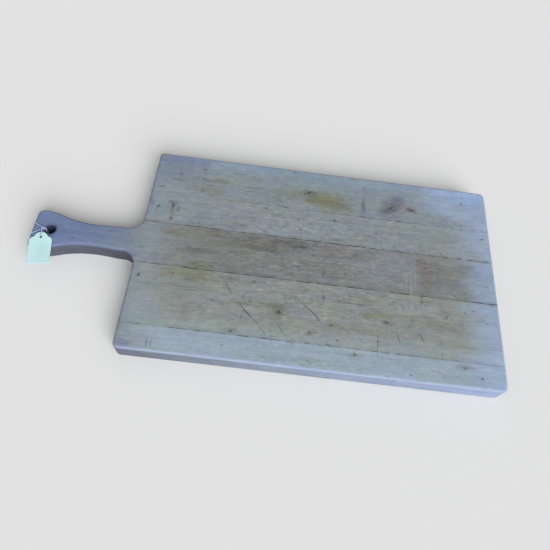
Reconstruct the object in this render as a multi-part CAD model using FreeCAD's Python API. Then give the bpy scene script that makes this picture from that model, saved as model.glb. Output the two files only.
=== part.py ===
import FreeCAD, Part
import math
import os

V = FreeCAD.Vector
os.makedirs("parts", exist_ok=True)

# ---------------------------------------------------------------------------
# Edge-glued paddle board: five staves with four glue lines between them, the
# middle stave runs on into the handle, with a hanging hole near its end and a
# card price tag strung round the handle's end on one loop of cotton string.
# Millimetres. Origin: centre of the board's footprint, on its underside.
# +X from the handle to the blade's free end, +Y to the far edge, +Z up.
# ---------------------------------------------------------------------------

# blade
BLADE_L = 450.0          # along the grain
BLADE_W = 282.0          # across the staves
BOARD_T = 25.4           # one inch
HANDLE_L = 129.5         # from the blade's end to the handle's end
TOP_ARRIS_R = 3.0        # worn round along the top edges
BOTTOM_ARRIS_R = 2.0
CORNER_NEAR_LEFT_R = 7.0
CORNER_FAR_LEFT_R = 4.0
CORNER_FAR_RIGHT_R = 8.0
CORNER_NEAR_RIGHT_R = 8.0

# staves, across the board
STAVE_W = {
    "near_edge_stave": 31.0,
    "near_inner_stave": 79.0,
    "handle_stave": 60.0,
    "far_inner_stave": 47.0,
    "far_edge_stave": 65.0,
}
GLUE_T = 0.2             # film of glue in each joint
GROOVE_TOP_W = 0.9       # worn V along each joint
GROOVE_TOP_D = 0.55
GROOVE_BOTTOM_W = 0.7
GROOVE_BOTTOM_D = 0.4

# handle: half width at a distance back from the blade's end
HANDLE_CORNER_R = 7.0
HANDLE_HALF_END = 27.5
HANDLE_PROFILE = [
    (-122.5, 27.5), (-114.0, 27.1), (-106.0, 25.6), (-98.0, 23.2), (-90.0, 20.5),
    (-82.0, 18.5), (-74.0, 17.1), (-66.0, 16.2), (-58.0, 15.7), (-50.0, 15.55),
    (-42.0, 15.8), (-34.0, 16.3), (-26.0, 16.8), (-17.0, 17.0),
]
SHOULDER_R = 17.0        # where the handle runs out into the blade
HANDLE_RELIEF = 1.5      # the handle is planed thinner on its underside
RELIEF_RUN_OUT = (60.0, 25.0)   # from the blade's end, where the planing runs out

# hanging hole
HOLE_R = 6.35            # half-inch bore
HOLE_FROM_END = 21.55
HOLE_RIM_TOP_R = 1.5
HOLE_RIM_BOTTOM_R = 2.0

# card tag
TAG_W = 26.6
TAG_L = 41.0
TAG_T = 0.5
TAG_HOLE_R = 1.6
TAG_HOLE_FROM_TOP = 6.3
TAG_SLOPE = 0.10         # it droops a little over the handle's near edge
STRING_D = 1.0
KNOT_R = 1.9

L_TOTAL = BLADE_L + HANDLE_L
XE = -L_TOTAL / 2.0                  # handle's end
XL = XE + HANDLE_L                   # blade's handle end
XR = L_TOTAL / 2.0
YN = -BLADE_W / 2.0
YF = BLADE_W / 2.0
T = BOARD_T

seams = []
y = YN
for name in STAVE_W:
    y += STAVE_W[name]
    seams.append(y)
seams = seams[:-1]                   # near to far
YC = (seams[1] + seams[2]) / 2.0     # the handle's centreline
HX = XE + HOLE_FROM_END


def arc(a, m, b):
    return Part.Arc(a, m, b).toShape()


def line(a, b):
    return Part.LineSegment(a, b).toShape()


def corner(cx, cy, r, a0, a1):
    """Arc of a corner, from angle a0 to a1 in degrees."""
    p = [V(cx + r * math.cos(math.radians(a)), cy + r * math.sin(math.radians(a)), 0)
         for a in (a0, (a0 + a1) / 2.0, a1)]
    return arc(*p), p[0], p[2]


def outline():
    """Plan of the whole board, counter-clockwise from the handle's end."""
    edges = []

    def side(sign):
        pts = [V(XL + dx, YC + sign * h, 0) for dx, h in HANDLE_PROFILE]
        c = Part.BSplineCurve()
        c.interpolate(Points=pts, InitialTangent=V(1, 0, 0), FinalTangent=V(1, 0, 0))
        q = pts[-1]
        r = SHOULDER_R
        mid = V(q.x + r * math.sin(math.pi / 4), q.y + sign * r * (1 - math.cos(math.pi / 4)), 0)
        end = V(q.x + r, q.y + sign * r, 0)
        return c.toShape(), arc(q, mid, end), end

    near, near_sh, near_end = side(-1)
    far, far_sh, far_end = side(1)
    # handle end, near corner
    c1, a1, b1 = corner(XE + HANDLE_CORNER_R, YC - HANDLE_HALF_END + HANDLE_CORNER_R,
                        HANDLE_CORNER_R, 180, 270)
    c2, a2, b2 = corner(XE + HANDLE_CORNER_R, YC + HANDLE_HALF_END - HANDLE_CORNER_R,
                        HANDLE_CORNER_R, 90, 180)
    edges += [c1, near, near_sh]
    r = CORNER_NEAR_LEFT_R
    e, a, b = corner(XL + r, YN + r, r, 180, 270)
    edges += [line(near_end, a), e]
    last = b
    r = CORNER_NEAR_RIGHT_R
    e, a, b = corner(XR - r, YN + r, r, 270, 360)
    edges += [line(last, a), e]
    last = b
    r = CORNER_FAR_RIGHT_R
    e, a, b = corner(XR - r, YF - r, r, 0, 90)
    edges += [line(last, a), e]
    last = b
    r = CORNER_FAR_LEFT_R
    e, a, b = corner(XL + r, YF - r, r, 90, 180)
    edges += [line(last, a), e, line(b, far_end)]
    edges += [far_sh, far, c2, line(b2, a1)]
    w = Part.Wire(Part.__sortEdges__(edges))
    return Part.Face(w)


def relief_cutter():
    """The wedge planed off under the handle, run out just before the blade."""
    pts = [V(XE - 5, -200, -1), V(XE - 5, -200, HANDLE_RELIEF),
           V(XL - RELIEF_RUN_OUT[0], -200, HANDLE_RELIEF), V(XL - RELIEF_RUN_OUT[1], -200, 0),
           V(XL - RELIEF_RUN_OUT[1], -200, -1)]
    f = Part.Face(Part.makePolygon(pts + [pts[0]]))
    return f.extrude(V(0, 400, 0))


def board_blank():
    blank = outline().extrude(V(0, 0, T)).cut(relief_cutter()).Solids[0]
    low = []
    for e in blank.Edges:
        if e.BoundBox.ZMax > HANDLE_RELIEF + 1e-6:
            continue
        # the edges on the outline are shared with one upright face
        ups = 0
        for f in blank.ancestorsOfType(e, Part.Face):
            u0, u1, v0, v1 = f.ParameterRange
            if abs(f.normalAt((u0 + u1) / 2.0, (v0 + v1) / 2.0).z) < 0.2:
                ups += 1
        if ups == 1:
            low.append(e)
    blank = blank.makeFillet(BOTTOM_ARRIS_R, low)
    top = [e for e in blank.Edges
           if abs(e.BoundBox.ZMin - T) < 1e-6 and abs(e.BoundBox.ZMax - T) < 1e-6]
    return blank.makeFillet(TOP_ARRIS_R, top)


board = board_blank()
assert board.isValid() and board.BoundBox.ZMin > -1e-6

# hanging hole with worn rims
hole = Part.makeCylinder(HOLE_R, T + 4, V(HX, YC, -2))
board = board.cut(hole)
if len(board.Solids) == 1:
    board = board.Solids[0]


def rim(z):
    return [e for e in board.Edges
            if isinstance(e.Curve, Part.Circle) and abs(e.Curve.Radius - HOLE_R) < 1e-6
            and abs(e.BoundBox.ZMax - z) < 1e-3 and abs(e.BoundBox.ZMin - z) < 1e-3]


board = board.makeFillet(HOLE_RIM_TOP_R, rim(T))
board = board.makeFillet(HOLE_RIM_BOTTOM_R, rim(HANDLE_RELIEF))
if len(board.Solids) == 1:
    board = board.Solids[0]

# worn V grooves along the joints, top and bottom
for s in seams:
    for z0, dz, w, d in ((T, -1, GROOVE_TOP_W, GROOVE_TOP_D), (0.0, 1, GROOVE_BOTTOM_W, GROOVE_BOTTOM_D)):
        pts = [V(XL - 1.0, s - w / 2 - 0.02, z0 - 0.02 * dz), V(XL - 1.0, s + w / 2 + 0.02, z0 - 0.02 * dz),
               V(XL - 1.0, s, z0 + d * dz)]
        prism = Part.Face(Part.makePolygon(pts + [pts[0]])).extrude(V(BLADE_L + 2, 0, 0))
        board = board.cut(prism)
if len(board.Solids) == 1:
    board = board.Solids[0]
print("board valid", board.isValid(), "volume cm3", round(board.Volume / 1000, 1))


def slab(y0, y1):
    return Part.makeBox(L_TOTAL + 20, y1 - y0, T + 20, V(XE - 10, y0, -10))


nodes = {}
edges_y = [YN - 5] + seams + [YF + 5]
for i, name in enumerate(STAVE_W):
    y0 = edges_y[i] + (GLUE_T / 2 if i > 0 else 0)
    y1 = edges_y[i + 1] - (GLUE_T / 2 if i < len(STAVE_W) - 1 else 0)
    s = board.common(slab(y0, y1))
    assert len(s.Solids) == 1, (name, len(s.Solids))
    nodes[name] = s.Solids[0]
for s, name in zip(seams, ("glue_line_near_edge", "glue_line_near_inner", "glue_line_far_inner", "glue_line_far_edge")):
    g = board.common(slab(s - GLUE_T / 2, s + GLUE_T / 2))
    assert len(g.Solids) == 1, (name, len(g.Solids))
    nodes[name] = g.Solids[0]


# --- string -----------------------------------------------------------------
def tube(points, d, name):
    """Round tube along straight runs joined by tangent arcs."""
    pts = [V(*p) for p in points]
    edges, radii = [], []
    start = pts[0]
    for i in range(1, len(pts) - 1):
        a, p, b = pts[i - 1], pts[i], pts[i + 1]
        u, w = (a - p), (b - p)
        la, lb = u.Length, w.Length
        u.normalize()
        w.normalize()
        turn = math.pi - math.acos(max(-1.0, min(1.0, u.dot(w))))
        cut = 0.45 * min(la, lb)
        r = cut / math.tan(turn / 2.0)
        p0, p1 = p + u * cut, p + w * cut
        bis = (u + w)
        bis.normalize()
        c = p + bis * (r / math.cos(turn / 2.0))
        mid = c + (p - c).normalize() * r
        edges.append(Part.LineSegment(start, p0).toShape())
        edges.append(Part.Arc(p0, mid, p1).toShape())
        start = p1
        radii.append((round(r, 2), round(math.degrees(turn), 1)))
    edges.append(Part.LineSegment(start, pts[-1]).toShape())
    path = Part.Wire(edges)
    t0 = (pts[1] - pts[0]).normalize()
    ring = Part.Wire(Part.Circle(pts[0], t0, d / 2.0).toShape())
    solid = path.makePipeShell([ring], True, False)
    if solid.Volume < 0:
        solid.reverse()
    ideal = math.pi * d * d / 4.0 * path.Length
    print(name, "length mm", round(path.Length, 2), "volume / (section x length)", round(solid.Volume / ideal, 4),
          "valid", solid.isValid(), "radii mm and turns", radii)
    return solid.Solids[0] if solid.Solids else solid


# One loop of string, hitched through the hanging hole and round the handle's
# end. It starts and ends in the knot on the handle's top.
JX, JY = -276.9, -1.6
STRING_ROUTE = [
    (-276.30, -0.75, 26.12), (-273.85, -0.35, 26.15), (-273.80, -0.30, 21.00),
    (-273.60, -0.15, 13.90), (-273.80, -0.30, 6.90), (-273.85, 0.10, 0.82),
    (-279.00, 2.20, 0.76), (-284.80, 4.60, 0.77), (-290.45, 6.30, 0.82),
    (-290.40, 6.55, 6.90), (-290.50, 7.00, 13.20), (-290.40, 6.75, 19.70),
    (-290.45, 6.40, 26.15), (-284.20, 3.30, 26.12), (-278.60, 0.10, 27.00),
    (-275.60, -0.70, 27.30), (-275.60, -2.40, 27.30), (-278.60, -3.40, 27.00),
    (-283.90, -6.90, 26.12), (-290.45, -11.60, 26.15), (-290.40, -11.80, 19.80),
    (-290.50, -12.10, 13.10), (-290.40, -11.70, 6.80), (-290.45, -11.40, 0.82),
    (-285.00, -8.10, 0.77), (-279.40, -5.30, 0.76), (-273.85, -2.10, 0.82),
    (-273.80, -1.75, 6.80), (-273.60, -1.95, 13.70), (-273.80, -1.70, 20.90),
    (-273.85, -1.65, 26.15), (-276.30, -2.35, 26.12),
]
nodes["tag_string"] = tube(STRING_ROUTE, STRING_D, "tag_string")

knot = Part.makeCylinder(KNOT_R, 2.4, V(JX, JY, 25.6))
knot = knot.makeFillet(0.8, [e for e in knot.Edges if isinstance(e.Curve, Part.Circle)])
nodes["string_knot"] = knot.Solids[0]

# --- tag --------------------------------------------------------------------
TAG_HOLE_D = 13.05                       # from the knot to the tag's hole
ang = math.atan2(-12.9, 2.0)             # direction in which the tag lies
u = V(math.cos(ang), math.sin(ang), 0)   # from the knot to the tag
w = V(-u.y, u.x, 0)                      # across the tag
tilt = math.atan(TAG_SLOPE)
down = V(u.x * math.cos(tilt), u.y * math.cos(tilt), -math.sin(tilt))
normal = V(u.x * math.sin(tilt), u.y * math.sin(tilt), math.cos(tilt))
tag_hole = V(JX + u.x * TAG_HOLE_D, JY + u.y * TAG_HOLE_D, 27.10)


def tag_point(across, up, z=0.0):
    """Point of the tag: across it, and up towards its strung end."""
    return tag_hole + w * across - down * up + normal * z


def tag_outline(z):
    hw = TAG_W / 2.0
    top = TAG_HOLE_FROM_TOP
    bot = TAG_HOLE_FROM_TOP - TAG_L
    P = lambda a, b: tag_point(a, b, z)
    right = [
        arc(P(2.8, top), P(5.7, 4.3), P(7.8, 1.3)),
        line(P(7.8, 1.3), P(8.4, 0.2)),
        arc(P(8.4, 0.2), P(11.6, -1.2), P(hw, -4.4)),
        line(P(hw, -4.4), P(hw, bot)),
    ]
    left = [
        arc(P(-2.8, top), P(-5.7, 4.3), P(-7.8, 1.3)),
        line(P(-7.8, 1.3), P(-8.4, 0.2)),
        arc(P(-8.4, 0.2), P(-11.6, -1.2), P(-hw, -4.4)),
        line(P(-hw, -4.4), P(-hw, bot)),
    ]
    edges = right + left
    edges += [line(P(-2.8, top), P(2.8, top)), line(P(-hw, bot), P(hw, bot))]
    return Part.Wire(Part.__sortEdges__(edges))


card = Part.Face(tag_outline(-TAG_T / 2.0)).extrude(normal * TAG_T)
punch = Part.makeCylinder(TAG_HOLE_R, 4, tag_hole - normal * 2, normal)
nodes["price_tag"] = card.cut(punch).Solids[0]


def along(d, z):
    return (JX + u.x * d, JY + u.y * d, z)


HITCH_ROUTE = [along(2.9, 27.80), along(5.4, 28.95), along(12.1, 28.25), along(12.1, 26.22), along(6.8, 26.25), along(2.9, 26.55)]
nodes["string_hitch"] = tube(HITCH_ROUTE, STRING_D, "string_hitch")

print("tag hole", [round(c, 3) for c in tag_hole], "normal", [round(c, 5) for c in normal],
      "across", [round(c, 5) for c in w], "down", [round(c, 5) for c in down])
print("tag length", TAG_L, "lowest", round(nodes["price_tag"].BoundBox.ZMin, 2))

for name, shape in nodes.items():
    assert shape.isValid(), name
    bb = shape.BoundBox
    print("%-22s vol %9.1f mm3  x %.2f..%.2f y %.2f..%.2f z %.2f..%.2f" % (
        name, shape.Volume, bb.XMin, bb.XMax, bb.YMin, bb.YMax, bb.ZMin, bb.ZMax))
    shape.exportStep("parts/%s.step" % name)
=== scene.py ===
import math

import bmesh
import bpy
import numpy as np
from mathutils import Matrix, Vector


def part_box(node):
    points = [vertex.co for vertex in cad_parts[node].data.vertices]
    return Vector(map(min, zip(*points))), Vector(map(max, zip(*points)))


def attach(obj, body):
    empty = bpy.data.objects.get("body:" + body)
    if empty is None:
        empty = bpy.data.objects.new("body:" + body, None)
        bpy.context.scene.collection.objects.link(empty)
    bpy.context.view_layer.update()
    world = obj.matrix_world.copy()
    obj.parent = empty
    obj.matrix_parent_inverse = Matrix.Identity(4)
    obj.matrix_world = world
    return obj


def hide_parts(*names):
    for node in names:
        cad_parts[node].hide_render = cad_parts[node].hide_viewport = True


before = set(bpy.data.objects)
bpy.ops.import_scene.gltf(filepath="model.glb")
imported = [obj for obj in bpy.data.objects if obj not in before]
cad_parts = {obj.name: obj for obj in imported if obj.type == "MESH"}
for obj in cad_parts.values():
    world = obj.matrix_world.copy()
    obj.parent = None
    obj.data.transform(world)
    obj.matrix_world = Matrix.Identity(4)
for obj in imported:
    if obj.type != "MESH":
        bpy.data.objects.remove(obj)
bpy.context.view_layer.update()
scene = bpy.context.scene

MM = 0.001
scene.view_settings.view_transform = "Standard"
scene.view_settings.look = "None"
scene.view_settings.exposure = 0.0
scene.view_settings.gamma = 1.0

# ---------------------------------------------------------------------------
# The board's numbers, millimetres, the same frame as the CAD.
# ---------------------------------------------------------------------------
T = 25.4
XE, XL, XR = -289.75, -160.25, 289.75      # handle's end, blade's two ends
YN, YF, YC = -141.0, 141.0, -1.0           # near edge, far edge, handle's centreline
SEAMS = [-110.0, -31.0, 29.0, 76.0]        # near to far
HALF_GLUE = 0.1
TOP_R, BOTTOM_R = 3.0, 2.0
HOLE = (-268.2, -1.0, 6.35)
PROFILE = [(-122.5, 27.5), (-114.0, 27.1), (-106.0, 25.6), (-98.0, 23.2), (-90.0, 20.5), (-82.0, 18.5),
           (-74.0, 17.1), (-66.0, 16.2), (-58.0, 15.7), (-50.0, 15.55), (-42.0, 15.8), (-34.0, 16.3),
           (-26.0, 16.8), (-17.0, 17.0)]
SHOULDER = 17.0

# ---------------------------------------------------------------------------
# Camera
# ---------------------------------------------------------------------------
cam_data = bpy.data.cameras.new("camera")
cam = bpy.data.objects.new("camera", cam_data)
scene.collection.objects.link(cam)
right = Vector((0.992139, 0.091179, 0.085716)).normalized()
down = Vector((0.120931, -0.874752, -0.469239))
down = (down - right * down.dot(right)).normalized()
ahead = right.cross(down).normalized()
turn = Matrix((right, -down, -ahead)).transposed()
cam.matrix_world = Matrix.Translation(Vector((-8.33, -322.57, 571.71)) * MM) @ turn.to_4x4()
cam_data.sensor_width = 36.0
cam_data.lens = 33.38
cam_data.clip_start = 0.01
cam_data.clip_end = 50.0
scene.camera = cam


# ---------------------------------------------------------------------------
# Small tools
# ---------------------------------------------------------------------------
def lin(rgb):
    """sRGB 0..255 to linear 0..1."""
    c = np.asarray(rgb, float) / 255.0
    return np.where(c <= 0.04045, c / 12.92, ((c + 0.055) / 1.055) ** 2.4)


def smooth(a, b, x):
    t = np.clip((x - a) / (b - a), 0.0, 1.0)
    return t * t * (3 - 2 * t)


class Noise:
    """Seeded value noise on a wrapped lattice, smooth, roughly -1..1."""

    def __init__(self, seed):
        self.table = np.random.RandomState(seed).uniform(-1, 1, (257, 257))
        self.table[-1] = self.table[0]
        self.table[:, -1] = self.table[:, 0]

    def one(self, u, v):
        i, j = np.floor(u).astype(int), np.floor(v).astype(int)
        fu, fv = u - i, v - j
        fu, fv = fu * fu * fu * (fu * (fu * 6 - 15) + 10), fv * fv * fv * (fv * (fv * 6 - 15) + 10)
        i, j = i % 256, j % 256
        t = self.table
        return ((t[i, j] * (1 - fu) + t[i + 1, j] * fu) * (1 - fv)
                + (t[i, j + 1] * (1 - fu) + t[i + 1, j + 1] * fu) * fv)

    def __call__(self, x, y, lx, ly, octaves=3, gain=0.5):
        """Noise with features lx by ly millimetres."""
        out, amp, tot = 0.0, 1.0, 0.0
        for o in range(octaves):
            k = 2.0 ** o
            out = out + amp * self.one(x / lx * k + 17.3 * o + 500, y / ly * k + 9.1 * o + 500)
            tot += amp
            amp *= gain
        return out / tot


def new_mesh(name, verts, faces, smooth_faces=True):
    me = bpy.data.meshes.new(name)
    me.from_pydata([tuple(v) for v in verts], [], faces)
    me.validate()
    me.update()
    if smooth_faces:
        me.polygons.foreach_set("use_smooth", np.ones(len(me.polygons), bool))
    ob = bpy.data.objects.new(name, me)
    scene.collection.objects.link(ob)
    return ob


def fast_mesh(name, verts, polys):
    """Mesh from a vertex array and a list of (n, k) face index arrays."""
    loops = np.concatenate([p.ravel() for p in polys]).astype(np.int32)
    sizes = np.concatenate([np.full(len(p), p.shape[1]) for p in polys]).astype(np.int32)
    starts = np.concatenate([[0], np.cumsum(sizes)[:-1]]).astype(np.int32)
    me = bpy.data.meshes.new(name)
    me.vertices.add(len(verts))
    me.vertices.foreach_set("co", np.asarray(verts, np.float32).ravel())
    me.loops.add(len(loops))
    me.loops.foreach_set("vertex_index", loops)
    me.polygons.add(len(sizes))
    me.polygons.foreach_set("loop_start", starts)
    me.polygons.foreach_set("loop_total", sizes)
    me.polygons.foreach_set("use_smooth", np.ones(len(sizes), bool))
    me.update(calc_edges=True)
    ob = bpy.data.objects.new(name, me)
    scene.collection.objects.link(ob)
    return ob


def vector_attribute(ob, name, values):
    a = ob.data.attributes.new(name, "FLOAT_VECTOR", "POINT")
    a.data.foreach_set("vector", np.asarray(values, np.float32).ravel())


# ---------------------------------------------------------------------------
# Outline of the board
# ---------------------------------------------------------------------------
def hermite(pts, n, m0, m1):
    """Smooth curve through pts, n samples a span, with end tangents m0 and m1: a natural-looking cubic."""
    P = np.asarray(pts, float)
    k = len(P)
    t = np.concatenate([[0], np.cumsum(np.linalg.norm(np.diff(P, axis=0), axis=1))])
    A = np.zeros((k, k))
    B = np.zeros((k, 2))
    A[0, 0] = A[-1, -1] = 1
    B[0], B[-1] = m0, m1
    for i in range(1, k - 1):
        h0, h1 = t[i] - t[i - 1], t[i + 1] - t[i]
        A[i, i - 1], A[i, i], A[i, i + 1] = h1, 2 * (h0 + h1), h0
        B[i] = 3 * (h1 * (P[i] - P[i - 1]) / h0 + h0 * (P[i + 1] - P[i]) / h1)
    M = np.linalg.solve(A, B)
    out = []
    for i in range(k - 1):
        h = t[i + 1] - t[i]
        s = np.linspace(0, 1, n, endpoint=False)[:, None]
        out.append((2 * s**3 - 3 * s**2 + 1) * P[i] + (s**3 - 2 * s**2 + s) * h * M[i]
                   + (-2 * s**3 + 3 * s**2) * P[i + 1] + (s**3 - s**2) * h * M[i + 1])
    out.append(P[-1:])
    return np.concatenate(out)


def arc_pts(cx, cy, r, a0, a1, n=48):
    a = np.radians(np.linspace(a0, a1, n))
    return np.stack([cx + r * np.cos(a), cy + r * np.sin(a)], 1)


def line_pts(a, b, step=0.5):
    n = max(2, int(math.ceil(math.dist(a, b) / step)) + 1)
    t = np.linspace(0, 1, n)[:, None]
    return np.asarray(a, float) * (1 - t) + np.asarray(b, float) * t


def join(*parts):
    parts = [np.asarray(p, float) for p in parts]
    out = [parts[0]]
    for p in parts[1:]:
        out.append(p[1:] if np.allclose(out[-1][-1], p[0], atol=1e-6) else p)
    return np.concatenate(out)


def handle_side(sign):
    """From the end corner's tangent point to the blade, on one side."""
    prof = hermite([(XL + dx, YC + sign * h) for dx, h in PROFILE], 12, (1, 0), (1, 0))
    q = prof[-1]
    sh = arc_pts(q[0], q[1] + sign * SHOULDER, SHOULDER, -90 * sign, 0, 64)
    return join(prof, sh)


near_side, far_side = handle_side(-1), handle_side(1)
END_R = 7.0
near_corner = arc_pts(XE + END_R, YC - 27.5 + END_R, END_R, 180, 270)
far_corner = arc_pts(XE + END_R, YC + 27.5 - END_R, END_R, 90, 180)


def cut_at_y(curve, y):
    """The part of a curve before it first crosses the line at y, ending on it."""
    s = np.sign(curve[0, 1] - y)
    k = int(np.argmax((curve[:, 1] - y) * s <= 0))
    a, b = curve[k - 1], curve[k]
    f = (y - a[1]) / (b[1] - a[1])
    return np.concatenate([curve[:k], [a + (b - a) * f]])


def after_y(curve, y):
    """The part of a curve after it first crosses the line at y, starting on it."""
    s = np.sign(curve[0, 1] - y)
    k = int(np.argmax((curve[:, 1] - y) * s <= 0))
    a, b = curve[k - 1], curve[k]
    f = (y - a[1]) / (b[1] - a[1])
    return np.concatenate([[a + (b - a) * f], curve[k:]])


OUTLINE = join(
    near_corner[::4], near_side[::3], [(XL, YC - 34), (XL, YN + 7)], arc_pts(XL + 7, YN + 7, 7, 180, 270, 17),
    [(XL + 7, YN), (XR - 8, YN)], arc_pts(XR - 8, YN + 8, 8, 270, 360, 17),
    [(XR, YN + 8), (XR, YF - 8)], arc_pts(XR - 8, YF - 8, 8, 0, 90, 17),
    [(XR - 8, YF), (XL + 4, YF)], arc_pts(XL + 4, YF - 4, 4, 90, 180, 17),
    [(XL, YF - 4), (XL, YC + 34)], far_side[::-1][::3], far_corner[::4], [(XE, YC + 20.5), (XE, YC - 20.5)])


def outline_distance(x, y, reach=5.0):
    """Distance to the board's outline, millimetres, up to reach."""
    out = np.full(x.shape, reach)
    a, b = OUTLINE[:-1], OUTLINE[1:]
    d = b - a
    ll = np.maximum((d**2).sum(1), 1e-12)
    far = (x > XL + reach) & (x < XR - reach) & (y > YN + reach) & (y < YF - reach)
    todo = np.nonzero(~far)[0]
    for k in range(0, len(todo), 4000):
        i = todo[k:k + 4000]
        px, py = x[i][:, None], y[i][:, None]
        t = np.clip(((px - a[:, 0]) * d[:, 0] + (py - a[:, 1]) * d[:, 1]) / ll, 0, 1)
        q = (px - a[:, 0] - t * d[:, 0])**2 + (py - a[:, 1] - t * d[:, 1])**2
        out[i] = np.minimum(reach, np.sqrt(q.min(1)))
    return out


# ---------------------------------------------------------------------------
# A stave: rings round its plan, a mapped grid inside them, walls with an
# arris above and below, and a coarser underside.
# ---------------------------------------------------------------------------
RINGS_TOP = [0.0, 0.1, 0.25, 0.45, 0.7, 1.05, 1.5, 2.1, 3.0]
RINGS_LOW = [0.0, 0.3, 0.75, 1.3, 2.0]


def dense(pts, step=0.25):
    """pts with points added so that no span is over step."""
    out = [pts[:1]]
    for a, b in zip(pts[:-1], pts[1:]):
        n = max(1, int(math.ceil(math.dist(a, b) / step)))
        t = np.linspace(0, 1, n + 1)[1:, None]
        out.append(a * (1 - t) + b * t)
    return np.concatenate(out)


class Side:
    """One run of the plan outline with an even number of cells. sharp says that it starts at a sharp corner; edge that it lies on the board's outline."""

    def __init__(self, pts, cells, sharp, edge):
        self.p = dense(np.asarray(pts, float))
        self.cells, self.sharp, self.edge = cells, sharp, edge
        d = np.diff(self.p, axis=0)
        seg = np.linalg.norm(d, axis=1)
        self.t = np.concatenate([[0], np.cumsum(seg)])
        tan = d / seg[:, None]
        both = np.concatenate([tan[:1], (tan[1:] + tan[:-1]), tan[-1:]])
        both /= np.linalg.norm(both, axis=1)[:, None]
        self.tan = both
        self.inward = np.stack([-both[:, 1], both[:, 0]], 1)
        self.length = self.t[-1]

    def at(self, t):
        x = np.stack([np.interp(t, self.t, self.p[:, c]) for c in (0, 1)], 1)
        n = np.stack([np.interp(t, self.t, self.inward[:, c]) for c in (0, 1)], 1)
        return x, n / np.linalg.norm(n, axis=1)[:, None]


def ring(sides, s, share):
    """The closed loop set in by s, with 1/share of each side's cells."""
    pts, starts = [], []
    n = len(sides)
    half = []
    for k, sd in enumerate(sides):
        prev = sides[k - 1]
        if sd.sharp:
            u, v = -prev.tan[-1], sd.tan[0]
            half.append(math.acos(max(-1, min(1, float(u @ v)))) / 2)
        else:
            half.append(None)
    ends = []
    for k, sd in enumerate(sides):
        a = 0.0 if half[k] is None else s / math.tan(half[k])
        h1 = half[(k + 1) % n]
        b = sd.length - (0.0 if h1 is None else s / math.tan(h1))
        t = a + (b - a) * np.linspace(0, 1, sd.cells // share + 1)
        x, nrm = sd.at(t)
        x = x + nrm * s
        pts.append(x)
    for k in range(n):
        corner = (pts[k - 1][-1] + pts[k][0]) / 2
        for q, end in ((pts[k - 1], -1), (pts[k], 0)):
            m = min(8, len(q) - 1)
            w = np.linspace(1, 0, m)[:, None]
            shift = corner - q[end]
            if end == 0:
                q[:m] += shift * w
            else:
                q[-m:] += shift * w[::-1]
    return np.concatenate([q[:-1] for q in pts])


def mapped(loop, nx, ny):
    """Transfinite grid (nx + 1, ny + 1, 2) inside a loop of 2 nx + 2 ny points."""
    m = 2 * nx + 2 * ny
    A, B = loop[:nx + 1], loop[nx:nx + ny + 1]
    C = loop[nx + ny:2 * nx + ny + 1][::-1]
    D = loop[np.arange(2 * nx + ny, m + 1) % m][::-1]
    u = np.linspace(0, 1, nx + 1)[:, None, None]
    v = np.linspace(0, 1, ny + 1)[None, :, None]
    g = ((1 - v) * A[:, None] + v * C[:, None] + (1 - u) * D[None] + u * B[None]
         - (1 - u) * (1 - v) * A[0] - u * (1 - v) * A[-1] - (1 - u) * v * C[0] - u * v * C[-1])
    return g


def loop_index(base, nx, ny):
    """Index grid's border, from a loop's first index."""
    m = 2 * nx + 2 * ny
    idx = np.full((nx + 1, ny + 1), -1, np.int64)
    idx[:, 0] = base + np.arange(nx + 1)
    idx[-1, :] = base + nx + np.arange(ny + 1)
    idx[:, -1] = base + 2 * nx + ny - np.arange(nx + 1)
    idx[0, :] = base + (m - np.arange(ny + 1)) % m
    return idx


class Build:
    """Vertices and faces gathered piece by piece. kind: 0 top, 1 wall, 2 underside, 3 bore."""

    def __init__(self):
        self.v, self.kind, self.f, self.n = [], [], {}, 0

    def add(self, xyz, kind):
        base = self.n
        self.v.append(np.asarray(xyz, float))
        self.kind.append(np.full(len(xyz), kind))
        self.n += len(xyz)
        return base

    def faces(self, arr):
        arr = np.asarray(arr, np.int64)
        self.f.setdefault(arr.shape[1], []).append(arr)

    def strip(self, outer, inner, m):
        i = np.arange(m)
        j = (i + 1) % m
        self.faces(np.stack([outer + i, outer + j, inner + j, inner + i], 1))

    def halve(self, fine, coarse, m):
        """Between a loop of m points and one of m / 2, coarse below."""
        k = np.arange(m // 2)
        k1 = (k + 1) % (m // 2)
        self.faces(np.stack([coarse + k, coarse + k1, fine + (2 * k + 2) % m, fine + 2 * k + 1, fine + 2 * k], 1))


def wall_noise(p, z):
    """How far the worn sides lie inside the drawn outline, 0 to about 0.25 mm."""
    a = N_WALL(p[:, 0] + p[:, 1] * 0.7, z, 14.0, 9.0, 2)
    b = N_WALL2(p[:, 0] * 0.9 + p[:, 1], z, 2.2, 1.2, 2)
    return np.clip(0.09 + 0.08 * a + 0.035 * b, 0.0, 0.3)


N_WALL, N_WALL2 = Noise(11), Noise(12)


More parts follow.
